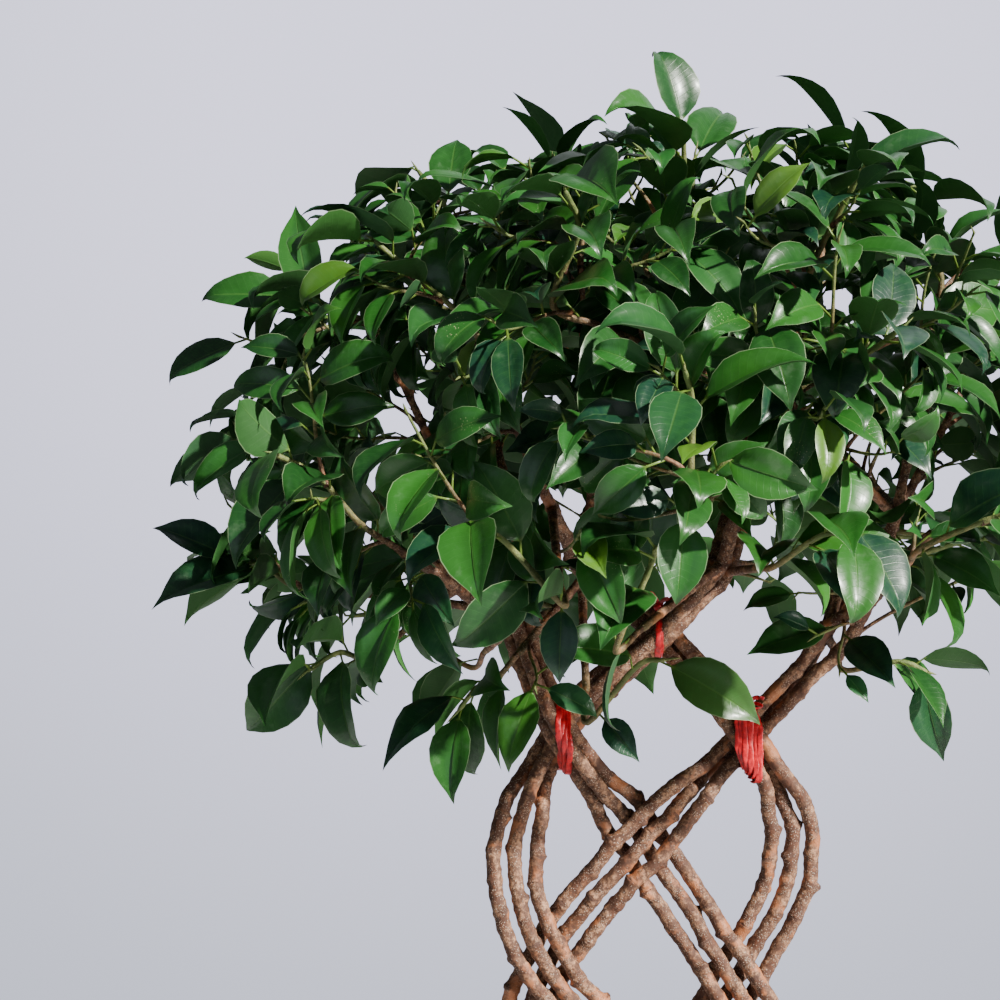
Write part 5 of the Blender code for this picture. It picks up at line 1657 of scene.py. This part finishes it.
class Paint:
    """A material or world that is being put together."""

    def __init__(self, owner):
        owner.use_nodes = True
        self.owner, self.tree = owner, owner.node_tree

    def feed(self, socket, value):
        if isinstance(value, Wire):
            self.tree.links.new(value.socket, socket)
        else:
            socket.default_value = value

    def node(self, kind, settings=None, sockets=(), output=0):
        """Any node: its type, its settings, and its sockets' values or wires by name or number."""
        made = self.tree.nodes.new(kind)
        for key, value in (settings or {}).items():
            if key == "stops":
                ramp = made.color_ramp
                while len(ramp.elements) < len(value):
                    ramp.elements.new(1.0)
                for stop, (at, colour) in zip(ramp.elements, value):
                    stop.position, stop.color = at, (*colour, 1.0)
            else:
                setattr(made, key, value)
        for key, value in sockets.items() if isinstance(sockets, dict) else enumerate(sockets):
            self.feed(made.inputs[key], value)
        return Wire(self, made.outputs[output])

    def place(self):
        return self.node("ShaderNodeTexCoord", output="Object")

    def trait(self, name):
        return self.node("ShaderNodeAttribute", {"attribute_name": name}, output="Fac")

    def noise(self, scale, detail=2.0, roughness=0.5):
        sockets = {"Vector": self.place(), "Scale": scale, "Detail": detail, "Roughness": roughness}
        return self.node("ShaderNodeTexNoise", {}, sockets)

    def cells(self, scale):
        """Distance to the nearest of many scattered points."""
        return self.node("ShaderNodeTexVoronoi", {}, {"Vector": self.place(), "Scale": scale}, "Distance")

    def between(self, value, low, high):
        """0 below low, 1 above high and a smooth rise between them. It falls where low is above high."""
        sockets = {"Value": value, "From Min": low, "From Max": high}
        return self.node("ShaderNodeMapRange", {"interpolation_type": "SMOOTHSTEP"}, sockets)

    def mix(self, share, a, b):
        """Colour a turned into colour b by the share. 6 and 7 are the Mix node's colour sockets."""
        a, b = (c if isinstance(c, Wire) else (*c, 1.0) for c in (a, b))
        return self.node("ShaderNodeMix", {"data_type": "RGBA"}, {0: share, 6: a, 7: b}, 2)

    def bump(self, height, distance, strength=1.0, normal=None):
        sockets = {"Height": height, "Distance": distance, "Strength": strength}
        if normal:
            sockets["Normal"] = normal
        return self.node("ShaderNodeBump", {}, sockets)

    def finish(self, **sockets):
        """Feeds the Principled shader's sockets, named with _ for a space, and gives back the material."""
        shader = self.tree.nodes["Principled BSDF"]
        for key, value in sockets.items():
            self.feed(shader.inputs[key.replace("_", " ")], value)
        return self.owner


def leaf_finish():
    """Glossy leaf. On the map the first coordinate gives the place across the blade and whether this is its
    under side, and the second the place from stalk to tip. It has a pale midrib, a pale rim that is a painted
    glow of light through the thin margin, faint side veins, light and dark leaves, dark blue-green ones whose
    tint is a painted reflection of the sky, yellow-green young ones, and pale freckles on a few."""
    p = Paint(bpy.data.materials.new("ficus_leaf"))
    surface = p.node("ShaderNodeUVMap", {"uv_map": "surface"})
    split = p.node("ShaderNodeSeparateXYZ", {}, [surface])
    u, v = split, Wire(p, split.socket.node.outputs[1])
    under = u > 2.0 / 3.0
    across = abs(u * (3.0 + 3.0 * under) - 1.0 - 4.0 * under)
    tone, hue, youth = p.trait("tone"), p.trait("hue"), p.trait("youth")
    blade = p.between(v, STALK_SHARE - 0.02, STALK_SHARE + 0.05)
    deep = p.mix(tone, (0.006, 0.050, 0.008), (0.020, 0.125, 0.014))
    fresh = p.mix(hue, (0.046, 0.200, 0.012), (0.018, 0.120, 0.020))
    green = p.mix(p.between(p.noise(9.0) + 0.5 * hue, 0.60, 1.00), deep, fresh)
    # Painted reflection: some dark leaves are tinted blue-green, as a reflection of the sky would tint them
    green = p.mix(0.80 * p.between(hue * (1.0 - tone), 0.40, 0.62), green, (0.004, 0.027, 0.026))
    green = p.mix(0.9 * p.between(youth, 0.25, 1.0), green, (0.120, 0.270, 0.018))
    mottled = p.between(p.noise(160.0, 3.0), 0.35, 0.75)
    green = p.mix(0.20 * mottled, green, (0.040, 0.180, 0.030))
    ribs = p.node("ShaderNodeMath", {"operation": "FRACT"}, [v * 15.0 - across * 1.4])
    vein = p.between(abs(ribs - 0.5), 0.43, 0.50) * p.between(across, 0.97, 0.80)
    green = p.mix(0.10 * vein * blade, green, (0.080, 0.240, 0.060))
    midrib = p.between(across, 0.060, 0.020)
    # Painted glow: the pale rim stands in for light shining through the thin margin of the blade
    rim = p.between(across, 0.955, 0.985)
    green = p.mix(0.24 * midrib * blade, green, (0.120, 0.260, 0.045))
    green = p.mix(0.50 * rim * blade, green, (0.400, 0.520, 0.290))
    scuffs = p.between(p.noise(45.0, 4.0, roughness=0.7), 0.56, 0.74)
    green = p.mix(0.16 * scuffs * (1.0 - under), green, (0.230, 0.330, 0.200))
    freckle = p.between(p.cells(560.0), 0.22, 0.12) * p.between(p.noise(24.0), 0.60, 0.66) * (tone > 0.55)
    green = p.mix(0.70 * freckle * (1.0 - under), green, (0.420, 0.460, 0.230))
    green = p.mix(0.35 * under * blade, green, (0.055, 0.160, 0.038))
    colour = p.mix(blade, (0.150, 0.250, 0.035), green)
    relief = 0.32 * vein - 1.0 * midrib * (1.0 - 2.0 * under) + 0.30 * mottled
    waves = p.bump(p.noise(55.0, 2.0), 1.4 * MM, 0.45, p.bump(p.noise(210.0, 3.0), 0.25 * MM, 0.5))
    shine = p.bump(relief, 0.3 * MM, 0.5, waves)
    rough = 0.30 + 0.16 * p.noise(35.0) + 0.12 * scuffs + 0.22 * under
    coat = 0.22 * (1.0 - under)
    return p.finish(Base_Color=colour, Roughness=rough, Normal=shine, Coat_Weight=coat, Coat_Roughness=0.20)


def bark_finish():
    """Tan bark with cream dots, dark leaf scars, rubbed orange patches and painted shade in the crevices of
    its fine grain. It turns smooth and green towards the young ends."""
    p = Paint(bpy.data.materials.new("ficus_bark"))
    scar, youth = p.trait("scar"), p.trait("youth")
    patches = p.noise(75.0, 4.0, roughness=0.6)
    colour = p.mix(p.between(patches, 0.39, 0.61), (0.130, 0.044, 0.019), (0.470, 0.250, 0.138))
    blotches = p.noise(170.0, 3.0, roughness=0.6)
    grain_and_crevice_shade = p.noise(420.0, 5.0, roughness=0.65)
    colour = p.mix(p.between(blotches, 0.56, 0.40), colour, p.mix(0.85, colour, (0.078, 0.031, 0.017)))
    # Painted shade: the low places of the grain, its crevices, are darkened as shade would darken them
    colour = p.mix(p.between(grain_and_crevice_shade, 0.37, 0.62), p.mix(0.85, colour, (0.082, 0.034, 0.019)), colour)
    rubbed = p.between(p.noise(42.0, 4.0, roughness=0.65), 0.54, 0.64)
    colour = p.mix(0.70 * rubbed, colour, (0.500, 0.175, 0.065))
    dots = p.between(p.cells(520.0), 0.32, 0.18) * p.between(p.noise(60.0), 0.40, 0.56)
    flecks = p.between(p.cells(950.0), 0.36, 0.22) * p.between(p.noise(110.0, 3.0), 0.46, 0.58)
    colour = p.mix((0.36 - 0.3 * rubbed) * dots, colour, (0.820, 0.660, 0.520))
    colour = p.mix((0.44 - 0.3 * rubbed) * flecks, colour, (0.780, 0.600, 0.450))
    marks = p.between(scar + 0.7 * (p.noise(330.0, 3.0) - 0.5), 0.72, 1.02)
    colour = p.mix(0.85 * marks, colour, (0.075, 0.032, 0.020))
    green = p.mix(p.between(p.noise(120.0), 0.4, 0.65), (0.130, 0.185, 0.050), (0.240, 0.270, 0.085))
    colour = p.mix(p.between(youth, 0.40, 0.80), colour, green)
    coarse = p.bump(blotches, 1.3 * MM, 0.8)
    relief = p.bump(grain_and_crevice_shade + 0.8 * dots + 0.6 * flecks - 0.9 * marks, 0.6 * MM, 0.8, coarse)
    rough = 0.74 - 0.25 * rubbed - 0.12 * youth
    return p.finish(Base_Color=colour, Roughness=rough, Normal=relief)


def tape_finish():
    """Glossy red plastic tape with fine creases along it, darker in their hollows as painted shade."""
    p = Paint(bpy.data.materials.new("red_tape"))
    creases = p.noise(260.0, 3.0, roughness=0.6)
    # Painted shade: the tape is darker where the creases sink, as shade would fall in their hollows
    colour = p.mix(p.between(creases, 0.3, 0.7), (0.330, 0.003, 0.008), (0.700, 0.010, 0.018))
    relief = p.bump(creases, 0.8 * MM, 0.8)
    return p.finish(Base_Color=colour, Roughness=0.30 + 0.20 * creases, Normal=relief, Coat_Weight=0.15)


def mix_finish():
    """Dark moist potting mix. Crumbs of low grit are bark chips, and those of high grit white perlite."""
    p = Paint(bpy.data.materials.new("potting_mix"))
    grit = p.trait("grit")
    fibres = p.noise(330.0, 6.0, roughness=0.7)
    colour = p.mix(p.between(fibres, 0.30, 0.70), (0.012, 0.007, 0.004), (0.085, 0.048, 0.026))
    chips = p.mix(fibres, (0.070, 0.030, 0.014), (0.210, 0.105, 0.052))
    colour = p.mix(p.between(grit, 0.30, 0.45), colour, chips)
    colour = p.mix(grit > PERLITE_ABOVE, colour, (0.700, 0.690, 0.650))
    relief = p.bump(fibres, 1.2 * MM, 0.9, p.bump(p.cells(190.0), 1.5 * MM, 0.5))
    return p.finish(Base_Color=colour, Roughness=0.92 - 0.10 * p.noise(80.0), Normal=relief)


def pot_finish():
    """Off-white glaze, satin, with iron specks, a warmer tint where it runs thin on ridges and at the rim."""
    p = Paint(bpy.data.materials.new("pot_glaze"))
    cloud = p.noise(7.0, 4.0)
    colour = p.mix(p.between(cloud, 0.35, 0.70), (0.560, 0.530, 0.470), (0.680, 0.655, 0.600))
    height = p.node("ShaderNodeSeparateXYZ", {}, [p.place()], "Z")
    edge = p.between(height + 0.004 * p.noise(30.0), POT_HEIGHT - 0.004, POT_HEIGHT + 0.002)
    foot = p.between(height + 0.006 * p.noise(25.0), 0.012, 0.007)
    colour = p.mix(0.75 * edge, colour, (0.350, 0.235, 0.140))
    colour = p.mix(0.80 * foot, colour, (0.420, 0.300, 0.200))
    specks = p.between(p.cells(150.0), 0.15, 0.09) * p.between(p.noise(40.0), 0.48, 0.56)
    specks = specks + 0.8 * p.between(p.cells(420.0), 0.15, 0.08) * p.between(p.noise(75.0), 0.50, 0.60)
    colour = p.mix(0.85 * specks, colour, (0.120, 0.070, 0.040))
    relief = p.bump(p.noise(55.0, 3.0), 0.6 * MM, 0.35)
    rough = 0.34 + 0.18 * cloud + 0.25 * foot
    return p.finish(Base_Color=colour, Roughness=rough, Normal=relief, Coat_Weight=0.15)


def floor_finish():
    """Plain pale matt floor."""
    p = Paint(bpy.data.materials.new("studio_floor"))
    colour = p.mix(p.noise(3.0, 3.0), (0.600, 0.600, 0.615), (0.640, 0.640, 0.655))
    return p.finish(Base_Color=colour, Roughness=0.8)


# Stage


def set_stage():
    """Pale round floor, cool grey surroundings, a sun-like key light from the upper right in front, broad
    soft ones from the left and from behind, and a low one from the right that reaches the braid under the
    crown."""
    deep, wide = -FLOOR_THICKNESS, FLOOR_RADIUS
    floor = turned_surface([(0.0, deep), (wide, deep), (wide, 0.0), (0.4 * wide, 0.0), (0.0, 0.0)], 96)
    mesh = bpy.data.meshes.new("studio_floor")
    mesh.from_pydata(floor["points"].tolist(), [], [f for faces in floor["faces"] for f in faces.tolist()])
    mesh.materials.append(floor_finish())
    obj = in_scene("studio_floor", mesh)
    world = Paint(bpy.data.worlds.new("studio"))
    bpy.context.scene.world = world.owner
    seen = world.node("ShaderNodeLightPath", output="Is Camera Ray")
    toward = world.node("ShaderNodeTexCoord", output="Generated")
    far = world.node("ShaderNodeVectorMath", {"operation": "DISTANCE"}, [toward, GLOW_TOWARD], "Value")
    wall = world.mix(world.between(far, *GLOW_FADES), GLOW_COLOUR, WALL_COLOUR)
    back = world.tree.nodes["Background"]
    world.feed(back.inputs["Color"], world.mix(seen, SHADE_COLOUR, wall))
    world.feed(back.inputs["Strength"], SHADE_STRENGTH + (1.0 - SHADE_STRENGTH) * seen)
    for name, (kind, spot, target, power, colour, settings) in LIGHTS.items():
        aim_light(name, kind, spot, Vector(target), power, colour, settings)


def aim_light(name, kind, spot, target, power, colour, settings):
    """A light at the spot, turned towards the target."""
    lamp = bpy.data.lights.new(name, kind)
    lamp.energy, lamp.color = power, colour
    for key, value in settings.items():
        setattr(lamp, key, value)
    obj = in_scene(name, lamp)
    obj.location = spot
    obj.rotation_mode = "QUATERNION"
    obj.rotation_quaternion = (Vector(spot) - target).to_track_quat("Z", "Y")


def set_camera():
    """Level camera at the photograph's place."""
    lens = bpy.data.cameras.new("camera")
    lens.lens, lens.sensor_width = LENS, SENSOR_WIDTH
    obj = in_scene("camera", lens)
    obj.location = EYE
    obj.rotation_euler = (math.radians(90.0), 0.0, 0.0)
    bpy.context.scene.camera = obj


# The plant, put together


def main():
    """Grows the plant, gives each stem its bark and leaves, and sets up ties, pot, mix, stage and camera."""
    rng = np.random.default_rng(TWIG_SEED)
    plans, lines = grow()
    leaves, crowd = place_leaves(lines, plans)
    wishes = placed_wishes(PLACED_TWIGS) + spread_wishes(rng)
    twigs = side_leaves(side_twigs(lines, crowd, wishes, rng), crowd, rng)
    last_rng = np.random.default_rng(LAST_TWIG_SEED)
    twigs += side_leaves(side_twigs(lines, crowd, placed_wishes(LAST_TWIGS), last_rng), crowd, last_rng)
    bark, foliage, tape = bark_finish(), leaf_finish(), tape_finish()
    stems = [line for line in lines if line["root"] is None]
    for stem in range(len(stems)):
        number = f"{stem + 1:02d}"
        shoots = [line["owner"] - FIRST_SHOOT for line in lines if is_shoot(line) and line["wood"] == stem]
        own = [leaf for j in shoots for leaf in leaves[j]]
        own += [leaf for twig in twigs if lines[twig["bearer"]]["wood"] == stem for leaf in twig["leaves"]]
        piece("bark_" + number, wood_of(stem, lines, twigs, rng), bark, ["stem_" + number])
        solids = [f"shoot_{j + 1:02d}" for j in shoots]
        crease_rims(piece("leaves_" + number, leaf_surface(own, rng), foliage, solids))
    for name in TIES:
        piece(name.replace("tie", "tape"), tape_surface(name, stems, rng), tape, [name])
    piece("glazed_pot", pot_surface(), pot_finish(), ["pot"])
    piece("crumbly_mix", mix_surface(rng), mix_finish(), ["soil"])
    set_stage()
    set_camera()


main()
